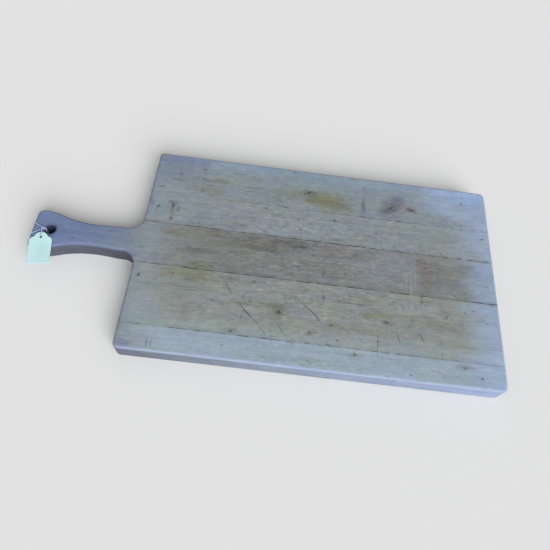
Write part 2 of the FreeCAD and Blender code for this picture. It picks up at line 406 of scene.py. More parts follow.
def stave(name, sides, nx, ny, hole=None, levels=8):
    """Returns (object, arrays) for one stave. hole is (i0, i1, j0, j1) in the top grid."""
    b = Build()
    m = 2 * nx + 2 * ny
    edge_w = []                     # 1 on the outline, fading to 0 towards the seams
    for k, sd in enumerate(sides):
        c = np.linspace(0, sd.length, sd.cells + 1)[:-1]
        w = np.full(sd.cells, 1.0 if sd.edge else 0.0)
        if sd.edge:
            if sd.sharp:
                w *= smooth(0, 4, c)
            if sides[(k + 1) % len(sides)].sharp:
                w *= smooth(0, 4, sd.length - c)
        edge_w.append(w)
    edge_w = np.concatenate(edge_w)
    loops = [ring(sides, s, 1) for s in RINGS_TOP]
    lows = [ring(sides, s, 2) for s in RINGS_LOW]
    nrm = loops[2] - loops[0]
    nrm /= np.linalg.norm(nrm, axis=1)[:, None]
    nlow = lows[1] - lows[0]
    nlow /= np.linalg.norm(nlow, axis=1)[:, None]

    def worn(loop, normal, w, z, share=1.0):
        return loop + normal * (wall_noise(loop, z) * w * share)[:, None]

    bases = []
    for s, lp in zip(RINGS_TOP, loops):
        q = worn(lp, nrm, edge_w, np.full(len(lp), T - 3), max(0.0, 1 - s / 1.5))
        z = z_top(lp[:, 0], lp[:, 1])
        bases.append(b.add(np.column_stack([q, z]), 0))
    for k in range(len(loops) - 1):
        b.strip(bases[k], bases[k + 1], m)
    grid = mapped(loops[-1], nx, ny)
    idx = loop_index(bases[-1], nx, ny)
    inner = grid[1:-1, 1:-1]
    keep = np.ones(inner.shape[:2], bool)
    if hole:
        i0, i1, j0, j1 = hole
        keep[i0:i1 - 1, j0:j1 - 1] = False
    flat = inner[keep]
    base = b.add(np.column_stack([flat, z_top(flat[:, 0], flat[:, 1])]), 0)
    sub = np.full(inner.shape[:2], -1, np.int64)
    sub[keep] = base + np.arange(len(flat))
    idx[1:-1, 1:-1] = sub
    quads = np.stack([idx[:-1, :-1], idx[1:, :-1], idx[1:, 1:], idx[:-1, 1:]], -1)
    mask = np.ones(quads.shape[:2], bool)
    if hole:
        mask[i0:i1, j0:j1] = False
    b.faces(quads[mask])

    # walls
    z0 = b.v[0][:, 2]
    zl_full = z_low(loops[0][:, 0], loops[0][:, 1])
    prev = bases[0]
    span = np.linspace(0, 1, levels + 2)[1:-1]
    for f in span:
        z = z0 + (zl_full - z0) * f
        cur = b.add(np.column_stack([worn(loops[0], nrm, edge_w, z), z]), 1)
        b.strip(cur, prev, m)
        prev = cur
    low0 = worn(lows[0], nlow, edge_w[::2], np.full(m // 2, 2.0))
    cur = b.add(np.column_stack([low0, z_low(lows[0][:, 0], lows[0][:, 1])]), 1)
    b.halve(prev, cur, m)
    low_bases = [cur]
    for s, lp in zip(RINGS_LOW[1:], lows[1:]):
        low_bases.append(b.add(np.column_stack([lp, z_low(lp[:, 0], lp[:, 1])]), 2))
    for k in range(len(lows) - 1):
        b.strip(low_bases[k + 1], low_bases[k], m // 2)
    nx2, ny2 = nx // 2, ny // 2
    glow = mapped(lows[-1], nx2, ny2)
    idl = loop_index(low_bases[-1], nx2, ny2)
    inl = glow[1:-1, 1:-1]
    keep = np.ones(inl.shape[:2], bool)
    if hole:
        keep[i0 // 2:i1 // 2 - 1, j0 // 2:j1 // 2 - 1] = False
    flat = inl[keep]
    base = b.add(np.column_stack([flat, z_low(flat[:, 0], flat[:, 1])]), 2)
    sub = np.full(inl.shape[:2], -1, np.int64)
    sub[keep] = base + np.arange(len(flat))
    idl[1:-1, 1:-1] = sub
    quads = np.stack([idl[:-1, :-1], idl[:-1, 1:], idl[1:, 1:], idl[1:, :-1]], -1)
    mask = np.ones(quads.shape[:2], bool)
    if hole:
        mask[i0 // 2:i1 // 2, j0 // 2:j1 // 2] = False
    b.faces(quads[mask])

    if hole:
        hx, hy, hr = HOLE

        def border(ix, a0, a1, c0, c1):
            """Loop of indices round a block, counter-clockwise, from its low corner."""
            return np.concatenate([ix[a0:a1, c0], ix[a1, c0:c1], ix[a1:a0:-1, c1], ix[a0, c1:c0:-1]])

        top_idx = border(idx, i0, i1, j0, j1)
        allv = np.concatenate(b.v)
        P = allv[top_idx][:, :2]
        mh = len(top_idx)
        ang = np.unwrap(np.arctan2(P[:, 1] - hy, P[:, 0] - hx))
        even = ang[0] + np.arange(mh) * 2 * np.pi / mh
        even = even + (ang - even).mean()
        ang_c = 0.35 * ang + 0.65 * even
        rim = 1.5

        def circle(r, a):
            # the bore is worn a little out of round by the string and the hook
            rr = r + 0.10 * (1 + np.cos(a - 2.9)) / 2 + 0.03 * (1 + np.sin(3 * a + 0.6)) / 2
            return np.column_stack([hx + rr * np.cos(a), hy + rr * np.sin(a)])

        def connect(outer_idx, inner_base):
            i = np.arange(len(outer_idx))
            j = (i + 1) % len(outer_idx)
            b.faces(np.stack([outer_idx[i], outer_idx[j], inner_base + j, inner_base + i], 1))

        prev_idx = top_idx
        for f in (0.3, 0.55, 0.76, 0.9, 1.0):
            c = circle(hr + rim, ang_c)
            q = P * (1 - f) + c * f
            base = b.add(np.column_stack([q, z_top(q[:, 0], q[:, 1])]), 0)
            connect(prev_idx, base)
            prev_idx = base + np.arange(mh)
        flat_z = b.v[-1][:, 2]
        for ph in np.radians([15, 30, 45, 60, 75, 90]):
            c = circle(hr + rim * (1 - math.sin(ph)), ang_c)
            base = b.add(np.column_stack([c, flat_z - rim * (1 - math.cos(ph))]), 0 if ph < 1.0 else 3)
            connect(prev_idx, base)
            prev_idx = base + np.arange(mh)
        ztop_bore = flat_z - rim
        rim2, zb = 2.0, 1.5
        for f in np.linspace(0, 1, 9)[1:-1]:
            z = ztop_bore * (1 - f) + (zb + rim2) * f
            c = circle(hr, ang_c)
            base = b.add(np.column_stack([c, z]), 3)
            connect(prev_idx, base)
            prev_idx = base + np.arange(mh)
        # halve the loop and come out on the underside
        ac = ang_c[::2]
        lowbase = b.add(np.column_stack([circle(hr, ac), np.full(mh // 2, zb + rim2)]), 3)
        k = np.arange(mh // 2)
        k1 = (k + 1) % (mh // 2)
        fine = prev_idx
        b.faces(np.stack([fine[2 * k], fine[2 * k + 1], fine[(2 * k + 2) % mh], lowbase + k1, lowbase + k], 1))
        prev_idx = lowbase + k
        for ph in np.radians([25, 50, 70, 90]):
            c = circle(hr + rim2 * (1 - math.cos(ph)), ac)
            base = b.add(np.column_stack([c, np.full(mh // 2, zb + rim2 * (1 - math.sin(ph)))]), 3 if ph < 1.0 else 2)
            connect(prev_idx, base)
            prev_idx = base + np.arange(mh // 2)
        low_idx = border(idl, i0 // 2, i1 // 2, j0 // 2, j1 // 2)
        i = np.arange(mh // 2)
        j = (i + 1) % (mh // 2)
        b.faces(np.stack([prev_idx[i], prev_idx[j], low_idx[j], low_idx[i]], 1))

    verts = np.concatenate(b.v)
    kind = np.concatenate(b.kind)
    polys = [np.concatenate(a) for a in b.f.values()]
    ob = fast_mesh(name, verts * MM, polys)
    tris = sum(len(p) * (p.shape[1] - 2) for p in polys)
    print(name, "vertices", len(verts), "triangles", tris)
    return ob, verts, kind


# ---------------------------------------------------------------------------
# What has happened to the wood: marks listed one by one, and seeded noise.
# ---------------------------------------------------------------------------
N1, N2, N3, N4, N5, N6 = (Noise(k) for k in (21, 22, 23, 24, 25, 26))

# knife cuts and scores: points, width, depth, darkness
CUTS = [
    ([(-46.2, -44.6), (-41.0, -52.5), (-37.0, -59.2)], 1.5, 0.22, 0.42),
    ([(-29.5, -68.3), (-25.5, -71.5), (-23.0, -74.5)], 1.2, 0.2, 0.45),
    ([(-23.0, -74.5), (-16.0, -81.0), (-10.8, -85.4)], 1.9, 0.42, 0.95),
    ([(-10.8, -85.4), (-3.0, -93.0), (3.5, -100.5), (8.0, -105.8)], 1.2, 0.2, 0.5),
    ([(-21.2, -75.8), (-22.4, -83.0), (-22.8, -89.2)], 1.0, 0.15, 0.45),
    ([(-18.0, -53.0), (-22.0, -57.5), (-24.5, -63.0)], 1.3, 0.18, 0.38),
    ([(18.4, -88.3), (24.0, -95.5), (28.5, -101.5), (33.8, -104.2)], 1.3, 0.22, 0.5),
    ([(12.2, -97.5), (14.0, -106.0), (15.5, -115.5)], 1.0, 0.12, 0.28),
    ([(36.0, -51.5), (42.0, -55.5), (49.0, -62.0)], 1.2, 0.18, 0.35),
    ([(49.0, -62.0), (55.9, -66.4), (64.0, -73.8), (69.7, -80.8)], 1.7, 0.35, 0.75),
    ([(64.5, -54.5), (71.5, -59.5)], 1.1, 0.14, 0.35),
    ([(89.3, -51.6), (97.0, -51.4), (104.0, -52.6), (120.5, -52.4), (138.0, -51.0)], 1.0, 0.2, 0.5),
    ([(138.0, -87.5), (138.6, -97.5), (138.0, -108.0), (138.2, -116.0)], 1.1, 0.2, 0.5),
    ([(160.1, -82.1), (162.5, -89.0), (165.1, -96.3)], 1.3, 0.22, 0.48),
    ([(186.0, -81.5), (190.0, -83.0), (193.0, -91.5)], 1.4, 0.28, 0.62),
    ([(192.6, -29.0), (193.2, -39.0)], 1.2, 0.25, 0.6),
    ([(228.8, -21.0), (234.0, -24.0), (241.5, -29.6)], 1.3, 0.22, 0.5),
    ([(45.0, -99.0), (50.0, -104.5)], 1.1, 0.14, 0.3),
    ([(38.0, -128.5), (46.0, -132.5), (56.0, -136.5)], 1.0, 0.12, 0.26),
    ([(41.0, -110.5), (37.0, -116.0)], 1.0, 0.12, 0.3),
    ([(-124.1, -125.0), (-123.0, -135.0)], 1.5, 0.25, 0.55),
    ([(-118.5, -127.0), (-118.9, -135.5)], 1.2, 0.16, 0.35),
    ([(198.0, -122.0), (214.0, -128.5), (220.0, -129.5)], 1.0, 0.1, 0.2),
    ([(-55.0, 121.5), (-49.0, 121.8), (-42.0, 121.0)], 1.1, 0.15, 0.4),
    ([(-5.5, 57.0), (-0.5, 48.5), (4.0, 39.0)], 1.0, 0.12, 0.2),
    ([(194.0, 38.5), (201.0, 32.0)], 1.1, 0.18, 0.38),
    ([(218.5, 37.0), (224.0, 30.5), (229.0, 28.5)], 1.5, 0.3, 0.6),
    ([(-58.0, 38.5), (-52.0, 33.0)], 1.0, 0.12, 0.28),
    ([(-31.0, 52.5), (-24.0, 54.5), (-21.5, 50.5), (-28.0, 47.5)], 1.1, 0.14, 0.32),
    ([(-65.0, 44.0), (-58.0, 52.0)], 1.2, 0.12, 0.22),
    ([(62.5, 118.5), (74.0, 113.5)], 1.1, 0.1, 0.2),
    ([(7.0, 88.0), (12.0, 79.0), (19.0, 75.0)], 1.2, 0.12, 0.3),
    ([(68.0, -8.0), (72.5, -13.5), (69.0, -23.0)], 1.4, 0.2, 0.42),
    ([(96.5, -12.0), (98.5, -20.0)], 1.2, 0.15, 0.35),
    ([(138.0, -10.5), (152.0, -5.5)], 1.0, 0.12, 0.28),
    ([(60.0, -9.0), (68.0, -13.0)], 1.1, 0.14, 0.32),
    ([(222.0, -58.0), (226.0, -51.0), (217.0, -49.0)], 1.3, 0.16, 0.42),
    ([(204.0, -51.5), (215.0, -51.8), (222.0, -56.0)], 1.2, 0.15, 0.4),
    ([(240.0, 18.0), (252.0, 17.2), (262.0, 19.0), (266.0, 12.5)], 1.3, 0.12, 0.3),
    ([(-36.0, -8.0), (-20.0, -6.5)], 1.0, 0.1, 0.25),
    ([(-78.0, -59.5), (-94.0, -61.0)], 1.0, 0.12, 0.42),
    ([(-60.0, -57.0), (-75.0, -59.5)], 1.0, 0.12, 0.35),
    ([(-14.0, -57.5), (0.0, -55.5)], 1.0, 0.1, 0.26),
    ([(-50.0, -72.0), (-28.0, -70.0), (0.0, -70.5), (6.0, -69.0)], 1.0, 0.1, 0.26),
    ([(212.0, -83.5), (215.5, -91.0)], 1.1, 0.1, 0.25),
    ([(240.0, -91.0), (262.0, -92.5)], 1.0, 0.1, 0.24),
    ([(-137.0, -50.0), (-104.0, -57.0), (-84.0, -57.5)], 1.0, 0.1, 0.2),
]

# pits, pin knots and knocks: x, y, half length, half width, turn, depth, darkness
DOTS = [
    (20.5, -74.6, 2.6, 2.6, 20, 0.45, 0.95), (-32.8, -105.8, 2.1, 1.9, 0, 0.35, 0.9),
    (148.8, -71.7, 2.4, 2.0, 0, 0.35, 0.85), (58.0, -96.7, 2.0, 1.6, 0, 0.3, 0.8),
    (28.0, -61.3, 2.2, 1.3, -55, 0.25, 0.65), (83.0, -84.2, 1.9, 1.4, 0, 0.3, 0.85),
    (72.6, -48.8, 1.6, 3.2, 0, 0.25, 0.7), (-12.8, -39.6, 2.0, 1.5, 0, 0.28, 0.7),
    (-14.9, -65.4, 1.9, 1.4, -20, 0.25, 0.7), (90.5, -101.7, 1.9, 1.5, 0, 0.25, 0.6),
    (111.3, -116.3, 1.8, 1.5, 0, 0.3, 0.85), (240.1, -117.5, 2.2, 1.4, 20, 0.22, 0.6),
    (259.3, -127.9, 1.8, 1.5, 0, 0.3, 0.8), (176.8, -133.3, 1.6, 1.4, 0, 0.25, 0.65),
    (-39.9, -123.8, 1.5, 1.2, 0, 0.2, 0.55), (61.0, -133.0, 2.0, 1.2, 0, 0.18, 0.4),
    (148.5, -137.3, 1.5, 1.1, 0, 0.2, 0.5), (33.0, -54.5, 1.5, 1.0, 0, 0.2, 0.55),
    (91.5, -51.6, 1.7, 1.2, 0, 0.25, 0.75), (104.0, -39.8, 2.4, 1.2, 0, 0.18, 0.45),
    (80.0, -108.5, 2.6, 1.2, -15, 0.2, 0.55), (138.6, -97.2, 1.7, 1.5, 0, 0.25, 0.7),
    (193.2, -39.5, 1.7, 1.5, 0, 0.3, 0.8), (222.3, -55.8, 2.2, 1.9, 0, 0.25, 0.6),
    (256.5, -43.8, 2.4, 1.0, 0, 0.18, 0.55), (247.0, -47.5, 1.2, 2.2, 30, 0.2, 0.5),
    (273.0, -58.0, 1.8, 1.6, 0, 0.22, 0.5), (181.0, -65.0, 3.2, 1.5, 0, 0.18, 0.42),
    (214.0, -105.0, 1.4, 3.4, 0, 0.15, 0.28), (-41.5, -37.5, 3.0, 1.3, 0, 0.18, 0.38),
    (-110.5, -41.0, 2.4, 1.4, -45, 0.22, 0.55), (-92.5, -45.5, 1.4, 2.0, 25, 0.2, 0.4),
    (-55.0, -47.5, 2.0, 1.2, 0, 0.16, 0.36), (-75.0, -66.0, 2.0, 1.2, 0, 0.15, 0.3),
    (-59.0, -69.5, 1.8, 1.2, 0, 0.16, 0.36), (-23.5, -62.0, 1.8, 1.3, 0, 0.16, 0.4),
    (-150.3, -47.9, 2.0, 2.5, 0, 0.45, 0.95), (-88.0, -24.5, 2.6, 1.3, 0, 0.2, 0.4),
    (-55.5, -23.0, 1.6, 1.3, 0, 0.22, 0.55), (-67.0, -24.5, 3.6, 1.8, -15, 0.15, 0.35),
    (98.5, -12.8, 2.0, 1.5, 0, 0.25, 0.65), (88.5, -19.5, 1.4, 1.2, 0, 0.2, 0.5),
    (70.5, -17.0, 2.2, 2.0, 0, 0.2, 0.45), (38.5, -11.0, 3.0, 1.2, 5, 0.16, 0.4),
    (191.0, 18.8, 2.8, 1.4, 0, 0.25, 0.7), (199.5, 17.0, 1.1, 3.2, 0, 0.16, 0.4),
    (218.0, 11.0, 1.6, 1.1, 0, 0.2, 0.55), (200.0, 9.5, 1.6, 1.2, 0, 0.2, 0.5),
    (42.5, 18.5, 4.5, 1.8, 10, 0.18, 0.5), (81.5, 64.5, 2.2, 2.4, 0, 0.3, 0.8),
    (76.0, 62.8, 3.2, 1.3, 12, 0.16, 0.5), (46.0, 104.8, 2.2, 2.2, 0, 0.35, 0.9),
    (41.5, 102.2, 3.2, 1.3, 0, 0.2, 0.55), (52.8, 102.3, 1.2, 2.8, -25, 0.2, 0.55),
    (-126.6, 109.5, 1.6, 2.2, -25, 0.28, 0.7), (-148.0, 85.2, 1.9, 1.4, 0, 0.3, 0.8),
    (-8.8, 70.8, 2.2, 1.6, -30, 0.3, 0.7), (24.0, 136.0, 1.2, 1.8, 0, 0.25, 0.7),
    (35.0, 59.5, 1.6, 1.2, 0, 0.2, 0.45), (38.0, 44.0, 2.6, 1.3, -50, 0.2, 0.5),
    (17.0, 45.5, 4.6, 1.2, -4, 0.16, 0.35), (67.0, 57.5, 1.8, 1.2, 0, 0.16, 0.35),
    (84.0, 106.0, 1.4, 1.1, 0, 0.2, 0.5), (90.5, 103.0, 1.2, 1.4, 0, 0.2, 0.5),
    (97.0, 33.8, 2.0, 1.1, 15, 0.2, 0.5), (136.5, 53.0, 1.8, 1.4, 0, 0.18, 0.45),
    (128.0, 45.5, 1.0, 0.9, 0, 0.2, 0.5), (133.0, 45.5, 1.0, 0.9, 0, 0.2, 0.5),
    (160.5, 35.5, 2.6, 1.3, 12, 0.2, 0.5), (157.0, 56.0, 2.6, 1.2, 5, 0.14, 0.36),
    (187.0, 70.5, 2.2, 1.6, 0, 0.22, 0.5), (251.5, 81.0, 1.7, 1.4, 0, 0.25, 0.6),
    (251.5, 75.5, 1.8, 1.1, 0, 0.16, 0.4), (278.5, 63.5, 2.4, 1.4, 0, 0.22, 0.6),
    (254.5, 117.5, 1.3, 3.0, 0, 0.2, 0.5), (256.5, 128.5, 1.6, 1.2, 0, 0.2, 0.4),
    (197.0, 46.5, 2.2, 1.2, 0, 0.14, 0.35), (236.0, 45.0, 1.2, 1.2, 0, 0.2, 0.5),
    (-96.5, 121.0, 3.2, 1.8, 0, 0.2, 0.55), (-94.5, 115.0, 1.0, 3.4, 0, 0.12, 0.4),
    (-95.0, 105.5, 2.6, 1.6, 0, 0.16, 0.45), (-57.0, 121.2, 1.8, 1.3, 0, 0.2, 0.5),
    (-95.0, 84.5, 2.6, 1.8, -25, 0.16, 0.42), (-20.5, 116.0, 3.2, 1.8, 0, 0.12, 0.3),
    (-146.5, 53.0, 1.6, 3.4, -18, 0.4, 0.85), (-147.8, 46.5, 1.0, 2.2, -10, 0.2, 0.5),
    (-120.6, 51.3, 1.4, 4.2, -18, 0.22, 0.5), (-37.5, 39.5, 2.2, 1.6, 0, 0.18, 0.4),
    (-95.0, 46.0, 2.2, 1.6, 15, 0.14, 0.3), (-92.0, 35.0, 1.8, 1.3, 0, 0.18, 0.42),
    (-102.0, 34.5, 3.6, 1.1, -35, 0.14, 0.36), (-155.5, -9.5, 1.8, 1.3, 0, 0.2, 0.4),
    (-46.0, -22.0, 1.0, 4.0, 55, 0.1, 0.28), (277.0, -7.5, 2.4, 1.1, 8, 0.16, 0.4),
    (270.0, -17.5, 2.4, 1.1, 5, 0.12, 0.3), (281.0, -32.6, 1.6, 1.6, 0, 0.25, 0.6),
    (-218.0, 1.0, 1.8, 1.3, 0, 0.2, 0.4), (-238.0, -9.0, 2.4, 2.0, 0, 0.2, 0.32),
    (-196.0, 7.0, 2.4, 1.5, 0, 0.2, 0.35), (-174.0, 6.0, 1.8, 1.4, 0, 0.2, 0.4),
]

# soft stains: x, y, half length, half width, turn, colour, strength
STAIN_KINDS = {
    "smoke": (88, 92, 100),
    "rose": (134, 120, 128),
    "haze": (142, 149, 164),
    "olive": (118, 117, 80),
    "brown": (105, 102, 91),
    "dark": (50, 46, 46),
    "umber": (92, 90, 84),
    "grey": (116, 118, 114),
    "green": (130, 140, 124),
    "blue": (128, 140, 156),
    "pale": (158, 168, 180),
    "plum": (118, 110, 110),
    "sand": (127, 125, 110),
    "slate": (102, 112, 142),
}
STAINS = [
    (74, 93, 36, 18, -4, "olive", 0.75), (66, 94, 14, 9, 0, "olive", 0.5), (92, 86, 16, 7, 0, "brown", 0.5),
    (30, 100, 30, 10, 6, "olive", 0.4), (47, 104, 9, 6, 0, "umber", 0.5), (50, 93, 10, 7, -20, "brown", 0.4),
    (120, 93, 3.4, 12, 0, "smoke", 0.7), (118, 82, 7, 5, 0, "slate", 0.4), (121, 116, 2.8, 13, 0, "slate", 0.5),
    (121, 115, 1.2, 5, 0, "pale", 0.7), (160, 101, 19, 12, 38, "smoke", 0.7), (152, 90, 14, 7, 20, "smoke", 0.7),
    (168, 112, 13, 8, 10, "slate", 0.55), (171, 101, 11, 8, 20, "rose", 0.4), (158, 97, 7, 1.6, 38, "dark", 0.6),
    (184, 97, 6.5, 3.2, -12, "dark", 0.9), (174, 91, 12, 2.2, 33, "rose", 0.6), (183, 99, 11, 6, -10, "rose", 0.35), (190, 94, 4, 1.8, -50, "umber", 0.6),
    (160, 82, 14, 3, 12, "plum", 0.5), (196, 108, 9, 12, 10, "haze", 0.5), (-5, 14, 58, 13.5, 0, "umber", 0.45),
    (8, 23, 52, 5.5, 0, "umber", 0.5), (42, 18, 14, 5, 0, "umber", 0.5), (7, 14, 6, 12, 0, "umber", 0.5),
    (0, 10, 26, 5, 8, "umber", 0.3), (-66, 22, 18, 8, 0, "brown", 0.5), (-84, -5, 22, 5.5, 3, "umber", 0.6),
    (-40, -2, 26, 3.5, 5, "umber", 0.5), (-25, 8, 14, 5, 0, "brown", 0.3), (-90, 18, 40, 10, 0, "olive", 0.3),
    (-120, 18, 18, 5, 3, "brown", 0.3), (-62, 6, 24, 7, 0, "olive", 0.3), (-20, -15, 90, 13, 0, "grey", 0.3),
    (60, -14, 48, 14, 0, "grey", 0.4), (84, 10, 34, 16, 0, "plum", 0.3), (142, -2, 50, 24, 0, "haze", 0.5),
    (112, 16, 26, 10, 0, "plum", 0.3), (170, 12, 30, 14, 0, "haze", 0.35), (203, -2, 16, 27, 0, "plum", 0.6),
    (196, 9, 9, 16, 0, "plum", 0.5), (194, -20, 4, 14, 0, "plum", 0.4), (203, -16, 4, 12, 0, "sand", 0.4),
    (234, 6, 26, 11, 8, "grey", 0.4), (252, 18, 14, 5, 0, "plum", 0.5), (250, -22, 12, 8, 0, "grey", 0.5),
    (236, -14, 22, 12, 0, "grey", 0.3), (175, -16, 1.6, 20, 0, "pale", 0.6), (180.5, -18, 1.2, 22, 0, "pale", 0.7), (186, -12, 1.2, 24, 0, "pale", 0.5), (169, -22, 1.3, 13, 3, "pale", 0.5), (192, -6, 1.0, 16, 0, "haze", 0.5), (210, -4, 1.2, 20, 0, "haze", 0.5),
    (181, -46, 1.8, 13, -14, "pale", 0.7), (174, -50, 1.6, 11, 22, "pale", 0.6), (188, -45, 1.4, 10, 8, "pale", 0.5), (166, -52, 3, 7, 20, "pale", 0.45), (164, -42, 12, 8, 0, "blue", 0.4),
    (156, -36, 12, 3, 0, "pale", 0.3), (-84, -33, 26, 7, 0, "olive", 0.6), (-110, -38, 16, 6, 0, "olive", 0.5),
    (-78, -45, 14, 7, 0, "olive", 0.5), (-118, -42, 30, 6, 3, "sand", 0.5), (-60, -42, 26, 7, 0, "sand", 0.5),
    (-30, -40, 22, 6, 0, "sand", 0.4), (-85, -24, 18, 5, 0, "olive", 0.4), (-92, -46, 10, 6, 0, "brown", 0.4),
    (-44, -50, 5, 7, 30, "plum", 0.4), (-96, -56, 40, 3.2, 2, "sand", 0.4), (-110, -61, 34, 8, 0, "green", 0.3),
    (-88, -88, 6, 12, 5, "sand", 0.5), (20, -74, 13, 8.5, 10, "brown", 0.7), (12, -67, 18, 3, 3, "brown", 0.5),
    (-33, -105, 12, 4.5, 0, "plum", 0.6), (-10, -69, 60, 3.5, 1, "grey", 0.4), (-40, -98, 26, 5, 8, "green", 0.3),
    (60, -97, 9, 5, 0, "olive", 0.4), (149, -72, 10, 4.5, 0, "brown", 0.6), (140, -64, 22, 5, 5, "olive", 0.5),
    (118, -46, 26, 6, 8, "sand", 0.45), (110, -42, 10, 3, 0, "plum", 0.4), (84, -64, 9, 4, -10, "grey", 0.5),
    (104, -65, 12, 4, 0, "grey", 0.4), (73, -48, 3, 9, 0, "grey", 0.5), (110, -86, 34, 7, 2, "sand", 0.4),
    (96, -97, 12, 7, 0, "sand", 0.4), (84, -84, 6, 3, 0, "olive", 0.5), (178, -66, 14, 7, 0, "sand", 0.4),
    (214, -68, 30, 9, -3, "grey", 0.4), (226, -72, 24, 4, -10, "grey", 0.35), (200, -60, 16, 4, -18, "grey", 0.5),
    (218, -45, 13, 9, -10, "grey", 0.3), (207, -47, 10, 6, 0, "pale", 0.4), (242, -66, 4, 9, 0, "grey", 0.4),
    (196, -38, 22, 5, 0, "sand", 0.3), (256, -53, 20, 6, 0, "green", 0.3), (214, -92, 7, 6, 0, "grey", 0.3),
    (243, -92, 14, 3, 0, "sand", 0.3), (148, -86, 5, 4, 0, "blue", 0.5), (240, -117, 12, 4, 0, "plum", 0.5),
    (111, -117, 9, 4, 0, "sand", 0.4), (20, -131, 20, 3.5, 0, "blue", 0.4), (56, -130, 16, 4, 0, "green", 0.3),
    (-60, -133, 14, 3, 0, "blue", 0.3), (150, -121, 30, 8, 0, "blue", 0.3), (240, -128, 30, 9, 0, "blue", 0.2),
    (-150, -134, 10, 5, 0, "slate", 0.5), (-127, 56, 6, 8, 0, "smoke", 0.3), (-128, 45, 2.6, 13, 1, "brown", 0.5), (-128.2, 57, 1.9, 5.5, 8, "dark", 0.85), (-124.8, 60, 1.3, 4, -22, "smoke", 0.8), (-131.5, 62, 1.2, 4, 34, "smoke", 0.7), (-122, 52, 1.6, 5, -24, "smoke", 0.5), (-128, 37.5, 2.6, 2.2, 0, "smoke", 0.5), (-128, 46, 4.5, 13, 0, "sand", 0.25),
    (-130, 63, 7, 1.1, -5, "umber", 0.5), (-157, 63, 1.4, 6, 5, "slate", 0.6), (-134, 60, 1.0, 3, 10, "slate", 0.5), (-134, 56, 4, 9, 0, "grey", 0.3), (-155, 58, 3, 8, 5, "slate", 0.6),
    (-127, 36, 2, 4, 0, "umber", 0.6), (-98, 130, 9, 7, 0, "slate", 0.5), (-117, 130, 7, 6, 0, "slate", 0.4),
    (-96, 104, 34, 3.5, 2, "plum", 0.5), (-126, 99, 10, 3, 2, "brown", 0.5), (-104, 88, 18, 5, 4, "plum", 0.4),
    (-72, 104, 14, 6, 0, "olive", 0.5), (-84, 90, 22, 9, 0, "olive", 0.3), (-30, 100, 22, 2.6, 1, "plum", 0.5),
    (-34, 94, 20, 2.4, -3, "grey", 0.3), (-28, 115, 12, 6, 0, "sand", 0.5), (-46, 76, 26, 3, 3, "olive", 0.3),
    (-76, 84, 14, 10, 0, "sand", 0.4), (8, 88, 16, 7, 5, "sand", 0.3), (6, 78, 10, 3, 0, "plum", 0.4),
    (-88, 57, 9, 8, 0, "blue", 0.4), (-30, 56, 8, 7, 0, "blue", 0.4), (-45, 40, 13, 4, -8, "grey", 0.5),
    (-90, 42, 24, 6, 0, "blue", 0.3), (118, 44, 10, 9, 0, "green", 0.6), (105, 55, 26, 8, 0, "blue", 0.3),
    (80, 55, 22, 6, -5, "blue", 0.3), (30, 46, 24, 5, 0, "blue", 0.3), (160, 62, 40, 7, 3, "green", 0.4),
    (220, 56, 22, 12, 0, "green", 0.4), (205, 44, 26, 9, 0, "green", 0.3), (262, 38, 16, 8, 0, "green", 0.4),
    (152, 42, 9, 5, -40, "green", 0.4), (215, 88, 26, 10, 0, "blue", 0.3), (240, 125, 12, 9, 0, "haze", 0.4),
    (254, 112, 12, 9, 0, "blue", 0.4), (262, 76, 14, 5, 0, "blue", 0.3), (228, 82, 12, 5, -30, "blue", 0.3),
    (20, 62, 30, 3, 3, "sand", 0.3), (96, 37, 14, 4, 5, "sand", 0.3), (70, 35, 26, 3, 5, "grey", 0.3),
    (130, 68, 40, 4, 0, "blue", 0.3), (-250, -2, 24, 3.5, 0, "slate", 0.3), (-232, 13, 16, 4, 0, "slate", 0.3),
    (-205, -4, 30, 6, 0, "slate", 0.3), (-186, 8, 14, 4, 0, "slate", 0.3), (-262, 14, 10, 5, 0, "slate", 0.3),
    (-262, 0, 11, 9, 0, "slate", 0.5),
]

# how strong each joint line is along x: (seam, [(x, strength), ...])
SEAM_LINE = {
    -110.0: [(-161, .6), (-140, .75), (-118, .55), (-100, .85), (-84, .7), (-72, .95), (-40, .75), (-14, .9),
             (40, .7), (64, .9), (92, .75), (140, .85), (158, 1.0), (172, .7), (214, .8), (250, .6), (278, .65),
             (285, .25), (290, .2)],
    -31.0: [(-161, .15), (-152, .4), (-138, .75), (-112, .9), (-84, .8), (-66, 1.0), (-30, .95), (0, .75),
            (40, .85), (60, 1.0), (104, 1.0), (120, .6), (150, .6), (178, .85), (200, 1.0), (224, .7),
            (240, .85), (262, 1.0), (272, .7), (290, .95)],
    29.0: [(-161, .95), (-140, .7), (-112, .75), (-96, 1.0), (-78, .9), (-50, .6), (-20, .8), (20, 1.0),
           (60, 1.0), (90, .95), (130, .85), (150, .5), (170, .9), (200, 1.0), (214, .6), (228, 1.0), (250, .7),
           (272, .9), (284, .8), (290, .3)],
    76.0: [(-161, .25), (-130, .06), (-108, .12), (-60, .1), (-20, .15), (-8, .5), (10, .5), (30, .6), (60, .5),
           (100, .6), (136, .65), (152, .85), (182, .7), (196, .35), (208, .2), (216, .35), (224, .1), (290, .1)],
}


